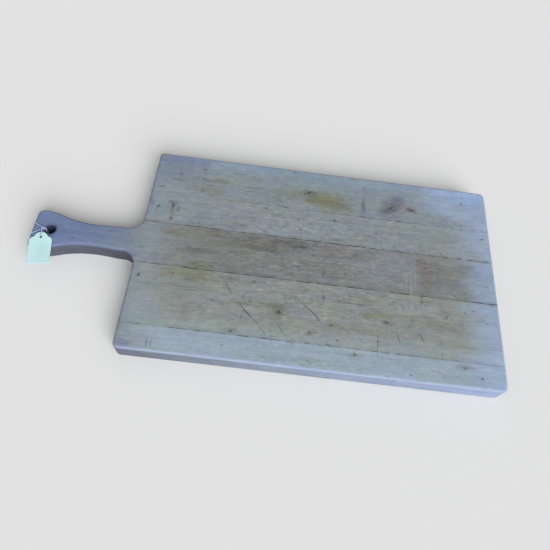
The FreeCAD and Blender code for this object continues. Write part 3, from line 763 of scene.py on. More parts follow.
def near_polyline(x, y, pts, reach):
    """Indices of points within reach of a polyline, and their distance to it and place along it 0..1."""
    P = np.asarray(pts, float)
    lo, hi = P.min(0) - reach, P.max(0) + reach
    i = np.nonzero((x > lo[0]) & (x < hi[0]) & (y > lo[1]) & (y < hi[1]))[0]
    if not len(i):
        return i, None, None
    a, d = P[:-1], np.diff(P, axis=0)
    ll = (d**2).sum(1)
    cum = np.concatenate([[0], np.cumsum(np.sqrt(ll))])
    px, py = x[i][:, None], y[i][:, None]
    t = np.clip(((px - a[:, 0]) * d[:, 0] + (py - a[:, 1]) * d[:, 1]) / ll, 0, 1)
    q = (px - a[:, 0] - t * d[:, 0])**2 + (py - a[:, 1] - t * d[:, 1])**2
    k = q.argmin(1)
    r = np.arange(len(i))
    along = (cum[k] + t[r, k] * np.sqrt(ll)[k]) / cum[-1]
    return i, np.sqrt(q[r, k]), along


def turned(x, y, cx, cy, rx, ry, deg):
    c, s = math.cos(math.radians(deg)), math.sin(math.radians(deg))
    u, v = (x - cx) * c + (y - cy) * s, -(x - cx) * s + (y - cy) * c
    return u / rx, v / ry


def marks(x, y):
    """Depth of the marks in millimetres, and how dark they are, 0..1."""
    depth, dark = np.zeros(x.shape), np.zeros(x.shape)
    wob = N3(x, y, 5.0, 5.0, 2) * 0.35
    for pts, w, dep, dk in CUTS:
        i, d, along = near_polyline(x, y, pts, w + 1.5)
        if len(i):
            taper = 0.35 + 0.65 * np.sqrt(np.clip(np.sin(np.pi * np.clip(along, 0.02, 0.98)), 0, 1))
            g = np.exp(-((d + wob[i] * 0.25) / (w * 0.5 * taper))**2)
            depth[i] = np.maximum(depth[i], g * dep * taper)
            dark[i] = np.maximum(dark[i], g * dk * (0.75 + 0.25 * taper))
    for cx, cy, rx, ry, deg, dep, dk in DOTS:
        r = 2.6 * max(rx, ry)
        i = np.nonzero((abs(x - cx) < r) & (abs(y - cy) < r))[0]
        if len(i):
            u, v = turned(x[i], y[i], cx, cy, rx, ry, deg)
            q = np.sqrt(u * u + v * v) * (1 + 0.45 * wob[i] + 0.16 * np.sin(3 * np.arctan2(v, u) + cx))
            g = np.exp(-(q / 0.78)**2.2)
            depth[i] = np.maximum(depth[i], g * dep)
            dark[i] = np.maximum(dark[i], g * dk)
    return depth, dark


def seam_strength(k, x):
    pts = np.array(SEAM_LINE[SEAMS[k]])
    s = np.interp(x, pts[:, 0], pts[:, 1]) * (0.62, 0.92, 1.0, 1.0)[k]
    n = N4(x, np.full(x.shape, 31.0 * k), 7.0, 1.0, 3)
    return np.clip(s * (0.86 + 0.62 * n) + 0.10 * n, 0.02, 1.0)


def groove(x, y):
    """Depth of the worn V along the joints."""
    out = np.zeros(x.shape)
    for k, s in enumerate(SEAMS):
        i = np.nonzero((abs(y - s) < 0.62) & (x > XL - 1.5))[0]
        if len(i):
            g = seam_strength(k, x[i])
            w = 0.24 + 0.30 * g
            out[i] = np.maximum(out[i], (0.05 + 0.42 * g) * np.clip(1 - abs(y[i] - s) / w, 0, 1))
    return out


def arris(d, r):
    q = np.clip(r - d, 0, r)
    return r - np.sqrt(np.maximum(r * r - q * q, 0))


def z_top(x, y):
    d = outline_distance(x, y)
    r = TOP_R + 0.35 * np.clip(N1(x, y, 46, 46, 2) + 0.25, 0, 1)
    r = np.where(d < 0.01, np.minimum(r, TOP_R + 0.35), r)
    depth, _ = marks(x, y)
    dish = 0.22 * np.exp(-((x - 40) / 150)**2 - ((y + 10) / 90)**2)
    relief = (0.035 * (1 + N1(x, y, 34, 2.6, 3)) + 0.02 * (1 + N2(x, y, 8, 0.9, 2))
              + 0.05 * (1 + N5(x, y, 70, 45, 2)))
    nick = 0.30 * np.clip(N6(x, y, 7, 7, 2) - 0.52, 0, 1) * smooth(5.0, 1.0, d)
    return T - arris(d, r) - np.maximum(depth, groove(x, y)) - dish - relief - nick


def z_low(x, y):
    d = outline_distance(x, y)
    rel = 1.5 * np.clip((XL - 25.0 - x) / 35.0, 0, 1)
    g = np.zeros(x.shape)
    for s in SEAMS:
        g = np.maximum(g, np.where(x > XL - 1.5, 0.4 * np.clip(1 - abs(y - s) / 0.35, 0, 1), 0))
    relief = 0.03 * (1 + N1(x, y, 60, 5.0, 2))
    return rel + arris(d, BOTTOM_R) + np.maximum(g, 0) + relief


# ---------------------------------------------------------------------------
# String: three cotton plies laid round each route. One loop round the
# handle's end, and the short end of it through the tag.
# ---------------------------------------------------------------------------
STRING_ROUTE = [
    (-276.30, -0.75, 26.12), (-273.85, -0.35, 26.15), (-273.80, -0.30, 21.00),
    (-273.60, -0.15, 13.90), (-273.80, -0.30, 6.90), (-273.85, 0.10, 0.82),
    (-279.00, 2.20, 0.76), (-284.80, 4.60, 0.77), (-290.45, 6.30, 0.82),
    (-290.40, 6.55, 6.90), (-290.50, 7.00, 13.20), (-290.40, 6.75, 19.70),
    (-290.45, 6.40, 26.15), (-284.20, 3.30, 26.12), (-278.60, 0.10, 27.00),
    (-275.60, -0.70, 27.30), (-275.60, -2.40, 27.30), (-278.60, -3.40, 27.00),
    (-283.90, -6.90, 26.12), (-290.45, -11.60, 26.15), (-290.40, -11.80, 19.80),
    (-290.50, -12.10, 13.10), (-290.40, -11.70, 6.80), (-290.45, -11.40, 0.82),
    (-285.00, -8.10, 0.77), (-279.40, -5.30, 0.76), (-273.85, -2.10, 0.82),
    (-273.80, -1.75, 6.80), (-273.60, -1.95, 13.70), (-273.80, -1.70, 20.90),
    (-273.85, -1.65, 26.15), (-276.30, -2.35, 26.12)]
KNOT = (-276.9, -1.6)
TO_TAG = Vector((1.9990, -12.8943, 0.0)).normalized()
HITCH_ROUTE = [(KNOT[0] + TO_TAG.x * d, KNOT[1] + TO_TAG.y * d, z) for d, z in
               ((2.9, 27.80), (5.4, 28.95), (12.1, 28.25), (12.1, 26.22), (6.8, 26.25), (2.9, 26.55))]
STRING_D = 1.0


def nurbs_line(route):
    """Points of the smooth line, read from a NURBS spline with the route as its control points."""
    cu = bpy.data.curves.new("route", "CURVE")
    cu.dimensions = "3D"
    cu.resolution_u = 16
    sp = cu.splines.new("NURBS")
    sp.points.add(len(route) - 1)
    for p, q in zip(sp.points, route):
        p.co = (q[0] * MM, q[1] * MM, q[2] * MM, 1.0)
    sp.order_u = 3
    sp.use_endpoint_u = True
    ob = bpy.data.objects.new("route", cu)
    scene.collection.objects.link(ob)
    bpy.context.view_layer.update()
    me = bpy.data.meshes.new_from_object(ob)
    pts = np.array([v.co for v in me.vertices], float) / MM
    bpy.data.objects.remove(ob)
    bpy.data.curves.remove(cu)
    bpy.data.meshes.remove(me)
    return pts


def even(pts, step):
    t = np.concatenate([[0], np.cumsum(np.linalg.norm(np.diff(pts, axis=0), axis=1))])
    n = int(t[-1] / step) + 1
    s = np.linspace(0, t[-1], n)
    return np.stack([np.interp(s, t, pts[:, c]) for c in range(3)], 1), t[-1]


def frames(p, closed=False):
    tan = np.gradient(p, axis=0)
    if closed:
        tan = np.roll(p, -1, 0) - np.roll(p, 1, 0)
    tan /= np.linalg.norm(tan, axis=1)[:, None]
    nrm = np.zeros_like(p)
    n = np.cross(tan[0], (0.3, 0.2, 1.0))
    n /= np.linalg.norm(n)
    for i in range(len(p)):
        n = n - tan[i] * (n @ tan[i])
        n /= np.linalg.norm(n)
        nrm[i] = n
    return tan, nrm, np.cross(tan, nrm)


def plies(pts, closed=False, d=STRING_D, pitch=4.2, sides=9, seed=3):
    """Vertices and faces of three plies twisted round a line."""
    tan, a, b = frames(pts, closed)
    n = len(pts)
    s = np.concatenate([[0], np.cumsum(np.linalg.norm(np.diff(pts, axis=0), axis=1))])
    total = s[-1] + (np.linalg.norm(pts[0] - pts[-1]) if closed else 0)
    turns = round(total / pitch) if closed else total / pitch
    if closed:                                  # the frame comes back turned, so the twist takes that up
        n0 = a[-1] - tan[0] * (a[-1] @ tan[0])
        back = math.atan2(n0 @ b[0], n0 @ a[0])
    else:
        back = 0.0
    rng = np.random.RandomState(seed)
    off, rad = d * 0.25, d * 0.285
    verts, quads = [], []
    base = 0
    for k in range(3):
        ph = 2 * np.pi * (turns * s / total + k / 3.0) - back * s / total
        swell = 1 + 0.05 * np.sin(2 * np.pi * s / 7.3 + k * 2.1) + 0.03 * np.interp(s, np.linspace(0, total, 60), rng.uniform(-1, 1, 60))
        c = pts + (np.cos(ph) * off)[:, None] * a + (np.sin(ph) * off)[:, None] * b
        th = np.linspace(0, 2 * np.pi, sides, endpoint=False)
        u = np.cos(ph)[:, None] * a + np.sin(ph)[:, None] * b
        w = -np.sin(ph)[:, None] * a + np.cos(ph)[:, None] * b
        ring = c[:, None] + (rad * swell)[:, None, None] * (np.cos(th)[None, :, None] * u[:, None] + np.sin(th)[None, :, None] * w[:, None])
        verts.append(ring.reshape(-1, 3))
        i = np.arange(n if closed else n - 1)[:, None] * sides
        i2 = (np.arange(n if closed else n - 1)[:, None] + 1) % n * sides
        j = np.arange(sides)[None, :]
        j2 = (j + 1) % sides
        quads.append((base + np.stack([i + j, i + j2, i2 + j2, i2 + j], -1)).reshape(-1, 4))
        if not closed:
            for e, sgn in ((0, -1), (n - 1, 1)):
                verts.append(c[e:e + 1] + sgn * tan[e] * 0.12)
                tip = base + n * sides + (0 if e == 0 else 1)
                r = base + e * sides + np.arange(sides)
                r2 = base + e * sides + (np.arange(sides) + 1) % sides
                quads.append(np.stack([r2, r, np.full(sides, tip), np.full(sides, tip)], 1) if e == 0
                             else np.stack([r, r2, np.full(sides, tip), np.full(sides, tip)], 1))
        base += n * sides + (0 if closed else 2)
    q = np.concatenate(quads)
    tri = q[:, 2] == q[:, 3]
    return np.concatenate(verts), [x for x in (q[~tri], q[tri][:, :3]) if len(x)]


def string_piece(name, route, body, node, end):
    line = nurbs_line(route)
    pts, length = even(line, 0.3)
    v, f = plies(pts)
    v[:, 0] = np.maximum(v[:, 0], -290.97)          # pressed against the handle's end
    ob = fast_mesh(name, v * MM, f)
    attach(ob, body)
    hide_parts(node)
    print(name, "length mm", round(length, 2))
    return ob, line, length


loop, loop_line, loop_len = string_piece("handle_loop", STRING_ROUTE, "board", "tag_string", "knot")
hitch, hitch_line, hitch_len = string_piece("tag_hitch", HITCH_ROUTE, "tag_loop", "string_hitch", "knot")

# the knot: an overhand knot pulled down on the crossing
t = np.linspace(0, 2 * np.pi, 120, endpoint=False)
kr = 0.50
kx = KNOT[0] + kr * (np.sin(t) + 1.75 * np.sin(2 * t)) * 0.95
ky = KNOT[1] + kr * (np.cos(t) - 1.75 * np.cos(2 * t)) * 0.95
kz = 26.80 - 0.56 * np.sin(3 * t)
kv, kf = plies(np.stack([kx, ky, kz], 1), closed=True, d=0.98, pitch=3.4, seed=5)
knot = fast_mesh("pulled_knot", kv * MM, kf)
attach(knot, "board")
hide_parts("string_knot")


# ---------------------------------------------------------------------------
# Colour of the worn wood, sRGB 0..255 as it looks in the studio's light.
# ---------------------------------------------------------------------------
# One tone for maple worn open by use, and what each stave and each region does to it.
WORN_WOOD = (140, 146, 144)
STAVE_TONE = [(12, 20, 34), (0, 0, 0), (-12, -14, -12), (-2, 0, 8), (-4, 0, 9)]      # near to far
END_GREY_AND_REFLECTION = (154, 171, 200)       # the far end, hardly used: weathered lavender grey, partly a painted bluish reflection
NECK_BLOOM = (140, 152, 162)      # beside the handle: cool grey
# the far band's blue: weathering and a painted reflection
FAR_WEATHER_AND_REFLECTION = (0.0, 6.0, 16.0)
HANDLE_TONE = [(-290, (110, 129, 168)), (-220, (115, 128, 162)), (-150, (128, 140, 150))]      # end to neck


def tone(x, table):
    xs = [t[0] for t in table]
    return np.stack([np.interp(x, xs, [t[1][c] for t in table]) for c in range(3)], 1)


def base_colour(x, y):
    which = np.searchsorted(SEAMS, y)
    out = np.array(WORN_WOOD, float) + np.array(STAVE_TONE, float)[which]
    xq = x + 9 * N2(x, y, 30, 14, 2)
    hardly = smooth(84, 104, y) * 46                     # along the far stave the end's grey and its painted reflection reach further in
    end = smooth(222, 288, xq + hardly)[:, None] * 0.85
    out = out * (1 - end) + np.array(END_GREY_AND_REFLECTION, float) * end
    # towards the near edge the boards stayed cleaner, and bluer; the blue is partly a painted reflection
    near_clean_and_reflection = smooth(-84, -106, y + 5 * N4(x, y, 50, 12, 2))[:, None]
    out += near_clean_and_reflection * np.array([7, 12, 17]) * np.where(which == 0, 0.35, 1.0)[:, None]
    neck = smooth(-100, -156, xq)[:, None] * (0.7 + 0.25 * smooth(-50, -90, y))[:, None]
    out = out * (1 - neck) + np.array(NECK_BLOOM, float) * neck
    # the far corner beside the neck is dirtier and more violet
    corner = smooth(-70, -150, xq)[:, None] * smooth(70, 128, y)[:, None]
    out += corner * np.array([-19, -21, -11])
    # the far band weathered bluer, out of the hands' and knives' way, with a painted bluish reflection in it as well
    band = smooth(112, 136, y + 6 * N5(x, y, 60, 30, 2)) * smooth(XL, XL + 30, x)
    out += band[:, None] * np.array(FAR_WEATHER_AND_REFLECTION)
    h = smooth(XL + 16, XL - 14, x)[:, None]
    return out * (1 - h) + tone(x, HANDLE_TONE) * h


def mix(col, to, w):
    w = np.asarray(w)[:, None]
    return col * (1 - w) + np.asarray(to, float) * w


STAIN = 0.80


def paint_top(x, y):
    col = base_colour(x, y)
    d = outline_distance(x, y, 8.0)
    wear = np.exp(-((x - 45) / 170)**2 - ((y + 5) / 105)**2)                      # the middle, most used
    wear = np.clip(wear * 1.15, 0, 1) * smooth(XL - 5, XL + 40, x)
    # drifting blotches, a touch green, brown or violet
    a, b, c = N1(x, y, 26, 10, 3), N2(x, y, 19, 9, 3), N5(x, y, 44, 22, 3)
    col = col + a[:, None] * np.array([3.4, 2.6, 0.8]) * (0.5 + wear[:, None])
    col = col + b[:, None] * np.array([2.0, -0.4, 2.6])
    col = col + c[:, None] * np.array([3.6, 3.4, 3.8])
    # where hands and food have been it is yellower, in soft-edged patches; between them bluer
    y1, y2 = N3(x - 140, y + 60, 34, 13, 3), N6(x + 19, y - 83, 15, 7, 3)
    col = col + (y1 * 0.6 + y2 * 0.4)[:, None] * np.array([4.0, 3.0, -4.6]) * 1.2
    # stains
    for cx, cy, rx, ry, deg, sc, st in STAINS:
        r = 1.7 * max(rx, ry) + 4
        i = np.nonzero((abs(x - cx) < r) & (abs(y - cy) < r))[0]
        if not len(i):
            continue
        u, v = turned(x[i], y[i], cx, cy, rx, ry, deg)
        q = np.sqrt(u * u + v * v)
        soft = 0.30 * N6(x[i], y[i], max(2.5, rx * 0.55), max(1.6, ry * 0.55), 3)
        w = smooth(1.32, 0.30, q + soft) * st * STAIN
        sc = STAIN_KINDS[sc]
        col[i] = mix(col[i], sc, w * (0.86 + 0.3 * N4(x[i], y[i], 7, 1.4, 2)))
    # streaks along the grain, more where the board is worn open
    s1 = N3(x, y, 22, 1.15, 3)
    s2 = N4(x, y, 46, 2.4, 2)
    s3 = N6(x, y, 6.5, 1.15, 2)
    on_top = 0.22 + 0.78 * wear
    col = col - (np.clip(s1 - 0.16, 0, 1) * 15 * on_top)[:, None] * np.array([1.0, 0.98, 0.9])
    col = col + (np.clip(-s1 - 0.2, 0, 1) * 13 * on_top)[:, None] * np.array([1.0, 1.0, 0.95])
    col = col + (s2 * 4.0 * on_top)[:, None]
    col = col - (np.clip(s3 - 0.26, 0, 1) * 38 * on_top)[:, None]
    # knocks and rubs a few millimetres across, everywhere
    m1, m2 = N4(x + 77, y - 31, 7.5, 4.2, 3), N2(x - 55, y + 91, 3.4, 2.3, 2)
    col = col + (m1 * 8.5 + m2 * 4.5)[:, None] * (0.55 + 0.45 * on_top[:, None])
    m3 = N1(x * 0.8 + y * 0.6 + 60, y * 0.8 - x * 0.6, 12, 1.3, 2)        # slanting scuffs
    col = col - (np.clip(m3 - 0.34, 0, 1) * 34 * on_top)[:, None]
    # crumbs of paler, scraped fibre
    pale = np.clip(N2(x + 300, y, 8, 1.5, 2) - 0.36, 0, 1)
    col = col + (pale * 46 * (0.25 + wear))[:, None] * np.array([0.95, 1.0, 0.98])
    # joints
    for k, s in enumerate(SEAMS):
        i = np.nonzero((abs(y - s) < 7) & (x > XL - 2))[0]
        if not len(i):
            continue
        g = seam_strength(k, x[i])
        e = y[i] - s + 0.12 * N3(x[i], y[i], 7, 7, 2)
        col[i] = mix(col[i], (30, 34, 38), np.exp(-(e / 0.60)**2) * np.clip(g * g * 0.92, 0, 1))
        side = np.where(e < 0, 1.0, 0.55)
        col[i] = mix(col[i], (158, 164, 160), np.exp(-((abs(e) - 1.9) / 0.8)**2) * 0.16 * g * side)
        col[i] = mix(col[i], (92, 96, 92), np.exp(-((e - 1.6) / 2.0)**2) * 0.16 * g)
    # cuts, pits and pin knots
    depth, dark = marks(x, y)
    col = mix(col, (38, 40, 42), np.clip(dark, 0, 1) * 0.68)
    halo = np.zeros(x.shape)
    for cx, cy, rx, ry, deg, dep, dk in DOTS:
        if dk < 0.6:
            continue
        i = np.nonzero((abs(x - cx) < 8) & (abs(y - cy) < 8))[0]
        if len(i):
            halo[i] = np.maximum(halo[i], np.exp(-(((x[i] - cx) / 4.2)**2 + ((y[i] - cy) / 2.4)**2)) * 0.15 * dk)
    col = mix(col, (94, 98, 100), halo)
    # the arris: darker just over the far edge and the blade's ends beside the handle; on the near side a pale lavender
    # line in places, painted highlight on the rounding with some rubbed wear
    arris_band = smooth(3.6, 1.2, d) * smooth(-0.2, 0.6, d)
    near = smooth(YN + 6, YN + 2, y)
    col = mix(col, (136, 150, 188), arris_band * near * (0.55 + 0.3 * N1(x, y, 40, 8, 2)))
    far = smooth(YF - 4, YF - 1, y) + smooth(XL + 3, XL, x) * smooth(YC + 34, YC + 40, abs(y))
    col = mix(col, (98, 102, 138), arris_band * np.clip(far, 0, 1) * 0.45)
    # the handle's rounded edges painted darker and bluer: painted shade over the rounding
    handle_edge_shade = smooth(XL + 2, XL - 6, x) * smooth(2.6, 0.6, d)
    col = mix(col, (88, 95, 128), handle_edge_shade * 0.62)
    return col, wear


def paint_side(x, y, z, n_in):
    """Walls: the near face, the handle's sides, the ends and the far face."""
    col = np.tile(np.array([128.0, 138.0, 158.0]), (len(x), 1))
    front = smooth(YN + 9, YN + 4, y) * smooth(XL - 1, XL + 1, x)
    fr = tone(x, [(-158, (92, 96, 112)), (10, (117, 127, 143)), (289, (138, 152, 186))])
    col = col * (1 - front[:, None]) + fr * front[:, None]
    # the handle's sides darker: partly hand grime, partly painted shade, deepest towards the shoulder by the blade
    hd = smooth(XL + 1, XL - 3, x)
    handle_side_grime_and_shade = tone(x, [(-290, (78, 82, 100)), (-170, (68, 72, 82))])
    col = col * (1 - hd[:, None]) + handle_side_grime_and_shade * hd[:, None]
    a, b, c = N1(x + y, z, 30, 5, 3), N2(x + y, z, 13, 1.5, 3), N6(x + y, z, 5, 4, 2)
    col = col + a[:, None] * np.array([7, 6, 8]) + b[:, None] * np.array([6, 6, 5]) + c[:, None] * 2.5
    # darker towards the bottom of every wall: painted shade near the floor
    col = mix(col, (84, 88, 108), smooth(4.5, 0.5, z) * 0.30)
    knock = np.clip(N4(x + y * 1.3, z, 9, 5, 2) - 0.55, 0, 1) * 1.6
    col = mix(col, (72, 70, 80), np.clip(knock, 0, 0.7))
    return col


TOP_LIGHT = 1.0      # how the studio lights a level face and an upright near face, against a white card
SIDE_LIGHT = 1.0


def dress(ob, verts, kind):
    x, y, z = verts.T
    col, wear = paint_top(x, y)
    col = lin(np.clip(col, 4, 250)) / TOP_LIGHT
    side = lin(np.clip(paint_side(x, y, z, None), 4, 250)) / SIDE_LIGHT
    w = smooth(T - 0.9, T - 3.4, z) * np.where((kind == 2) | (kind == 3), 1.0, 1.0)
    w = np.where(outline_distance(x, y, 3.0) < 2.9, w, np.where(kind == 0, 0.0, 1.0))
    bottom = lin(np.array([138.0, 146.0, 152.0]) + (N1(x, y, 60, 12, 3) * 9)[:, None] + (N3(x, y, 30, 1.6, 2) * 6)[:, None])
    col = col * (1 - w[:, None]) + side * w[:, None]
    wb = np.where(kind == 2, 1.0, 0.0)[:, None]
    col = col * (1 - wb) + bottom * wb
    # the bore's wall painted dark: painted shade inside the hanging hole
    bore = (kind == 3)
    bore_shade = lin(np.array([62.0, 66.0, 92.0]))
    col[bore] = bore_shade * (1 + 0.3 * N3(x, z, 3, 3, 2)[bore])[:, None]
    # darker in a ring round the hanging hole, strongest at its rim
    r = np.hypot(x - HOLE[0], y - HOLE[1])
    g = np.where((kind == 0), smooth(10.5, 7.2, r) * 0.55, 0)[:, None]
    col = col * (1 - g) + lin(np.array([64.0, 70.0, 104.0])) * g
    depth, dark = marks(x, y)
    vector_attribute(ob, "tint", col)
    vector_attribute(ob, "state", np.column_stack([wear, np.where(kind == 0, dark, 0), np.where(kind == 0, 1.0, 0.0)]))


# ---------------------------------------------------------------------------
# The five staves
# ---------------------------------------------------------------------------
def half_arc(p, first):
    k = len(p) // 2
    return p[:k + 1] if first else p[k:]


def build_staves():
    g = HALF_GLUE
    s0, s1, s2, s3 = SEAMS
    nl = arc_pts(XL + 7, YN + 7, 7, 180, 270, 49)
    nr = arc_pts(XR - 8, YN + 8, 8, 270, 360, 49)
    fr = arc_pts(XR - 8, YF - 8, 8, 0, 90, 49)
    fl = arc_pts(XL + 4, YF - 4, 4, 90, 180, 49)
    out = {}
    out["near_edge_stave"] = ([
        Side(join(half_arc(nl, False), line_pts((XL + 7, YN), (XR - 8, YN)), half_arc(nr, True)), 560, False, True),
        Side(join(half_arc(nr, False), line_pts((XR, YN + 8), (XR, s0 - g))), 56, False, True),
        Side(line_pts((XR, s0 - g), (XL, s0 - g)), 560, True, False),
        Side(join(line_pts((XL, s0 - g), (XL, YN + 7)), half_arc(nl, True)), 56, True, True)], 560, 56)
    near_horn = cut_at_y(near_side, s1 - g)[-1]
    out["near_inner_stave"] = ([
        Side(line_pts((XL, s0 + g), (XR, s0 + g)), 452, True, False),
        Side(line_pts((XR, s0 + g), (XR, s1 - g)), 128, True, True),
        Side(line_pts((XR, s1 - g), near_horn), 452, True, False),
        Side(join(after_y(near_side, s1 - g), line_pts((XL, YC - 34), (XL, s0 + g))), 128, True, True)], 452, 128)
    handle_edge_shade, hf = cut_at_y(near_side, s1 + g), cut_at_y(far_side, s2 - g)
    nc = arc_pts(XE + END_R, YC - 27.5 + END_R, END_R, 180, 270, 49)
    fc = arc_pts(XE + END_R, YC + 27.5 - END_R, END_R, 90, 180, 49)
    out["handle_stave"] = ([
        Side(join(half_arc(nc, False), handle_edge_shade), 128, False, True),
        Side(line_pts(handle_edge_shade[-1], (XR, s1 + g)), 392, True, False),
        Side(line_pts((XR, s1 + g), (XR, s2 - g)), 96, True, True),
        Side(line_pts((XR, s2 - g), hf[-1]), 392, True, False),
        Side(join(hf[::-1], half_arc(fc, True)), 128, True, True),
        Side(join(half_arc(fc, False), line_pts((XE, YC + 20.5), (XE, YC - 20.5)), half_arc(nc, True)), 96, False, True)],
        520, 96)
    far_horn = cut_at_y(far_side, s2 + g)[-1]
    out["far_inner_stave"] = ([
        Side(line_pts(far_horn, (XR, s2 + g)), 520, True, False),
        Side(line_pts((XR, s2 + g), (XR, s3 - g)), 84, True, True),
        Side(line_pts((XR, s3 - g), (XL, s3 - g)), 520, True, False),
        Side(join(line_pts((XL, s3 - g), (XL, YC + 34)), after_y(far_side, s2 + g)[::-1]), 84, True, True)], 520, 84)
    out["far_edge_stave"] = ([
        Side(line_pts((XL, s3 + g), (XR, s3 + g)), 500, True, False),
        Side(join(line_pts((XR, s3 + g), (XR, YF - 8)), half_arc(fr, True)), 108, True, True),
        Side(join(half_arc(fr, False), line_pts((XR - 8, YF), (XL + 4, YF)), half_arc(fl, True)), 500, False, True),
        Side(join(half_arc(fl, False), line_pts((XL, YF - 4), (XL, s3 + g))), 108, False, True)], 500, 108)
    return out


def hole_block(sides, nx, ny):
    """The block of the handle's grid that the hanging hole takes, even on each side."""
    grid = mapped(ring(sides, RINGS_TOP[-1], 1), nx, ny)
    d = np.abs(grid[:, :, 0] - HOLE[0])
    i_mid = int(d[:, ny // 2].argmin())
    reach = HOLE[2] + 1.5 + 2.2
    step = abs(grid[i_mid + 1, ny // 2, 0] - grid[i_mid, ny // 2, 0])
    n = int(math.ceil(reach / step))
    i0, i1 = (i_mid - n) // 2 * 2, (i_mid + n + 1) // 2 * 2
    wstep = abs(grid[i_mid, ny // 2 + 1, 1] - grid[i_mid, ny // 2, 1])
    m = int(math.ceil(reach / wstep))
    return i0, i1, (ny // 2 - m) // 2 * 2, (ny // 2 + m + 1) // 2 * 2


staves = {}
for name, (sides, nx, ny) in build_staves().items():
    hole = hole_block(sides, nx, ny) if name == "handle_stave" else None
    ob, verts, kind = stave("worn_" + name, sides, nx, ny, hole)
    dress(ob, verts, kind)
    staves[name] = ob
    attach(ob, "board")
    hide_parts(name)


# ---------------------------------------------------------------------------
# Glue films, a little below the worn joints
# ---------------------------------------------------------------------------
def glue_film(name, k):
    s = SEAMS[k]
    lo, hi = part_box(name)
    xa, xb = lo.x / MM, hi.x / MM
    r = np.array([0.0, 0.1, 0.25, 0.45, 0.7, 1.05, 1.5, 2.1, 3.0])
    xs = np.concatenate([xa + r, np.linspace(xa + 4, xb - 4, 430), xb - r[::-1]])
    n = len(xs)
    inner = smooth(0, 3, np.minimum(xs - xa, xb - xs))
    sink = 0.03 + 0.22 * np.clip(N6(xs, np.full(n, 7.0 * k), 6, 1, 3) + 0.3, 0, 1) * inner
    cols = []
    for dy, dz in ((-HALF_GLUE, 0.0), (0.0, 0.05), (HALF_GLUE, 0.0)):
        cols.append(np.column_stack([xs, np.full(n, s + dy), z_top(xs, np.full(n, s + dy)) - sink - dz]))
    for dy in (HALF_GLUE, -HALF_GLUE):
        cols.append(np.column_stack([xs, np.full(n, s + dy), z_low(xs, np.full(n, s + dy))]))
    v = np.concatenate(cols)
    i = np.arange(n - 1)
    quads = []
    for a in range(5):
        c = (a + 1) % 5
        quads.append(np.stack([a * n + i, a * n + i + 1, c * n + i + 1, c * n + i], 1))
    ends = np.array([[0 * n, 1 * n, 2 * n, 3 * n, 4 * n], [4 * n + n - 1, 3 * n + n - 1, 2 * n + n - 1, n + n - 1, n - 1]])
    ob = fast_mesh("film_" + name, v * MM, [np.concatenate(quads), ends])
    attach(ob, "board")
    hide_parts(name)
    return ob


films = [glue_film(n, k) for k, n in enumerate(
    ("glue_line_near_edge", "glue_line_near_inner", "glue_line_far_inner", "glue_line_far_edge"))]


# ---------------------------------------------------------------------------
# Price tag: a card with scalloped shoulders, punched, a little bent
# ---------------------------------------------------------------------------
TAG_HOLE = np.array([-274.901, -14.496, 27.10])
ACROSS = np.array([0.98819, 0.15321, 0.0])
TAG_DOWN = np.array([0.15245, -0.98329, -0.0995])
TAG_UP = -TAG_DOWN / np.linalg.norm(TAG_DOWN)
TAG_NORMAL = np.cross(ACROSS, TAG_UP)


def three_point_arc(a, m, b, n=14):
    a, m, b = (np.array(p, float) for p in (a, m, b))
    A = np.array([m - a, b - a]) * 2
    c = np.linalg.solve(A, np.array([m @ m - a @ a, b @ b - a @ a]))
    r = np.linalg.norm(a - c)
    t0, tm, t1 = (math.atan2(*(p - c)[::-1]) for p in (a, m, b))
    while tm - t0 > math.pi: tm -= 2 * math.pi
    while tm - t0 < -math.pi: tm += 2 * math.pi
    while t1 - tm > math.pi: t1 -= 2 * math.pi
    while t1 - tm < -math.pi: t1 += 2 * math.pi
    t = np.linspace(t0, t1, n)
    return np.stack([c[0] + r * np.cos(t), c[1] + r * np.sin(t)], 1)


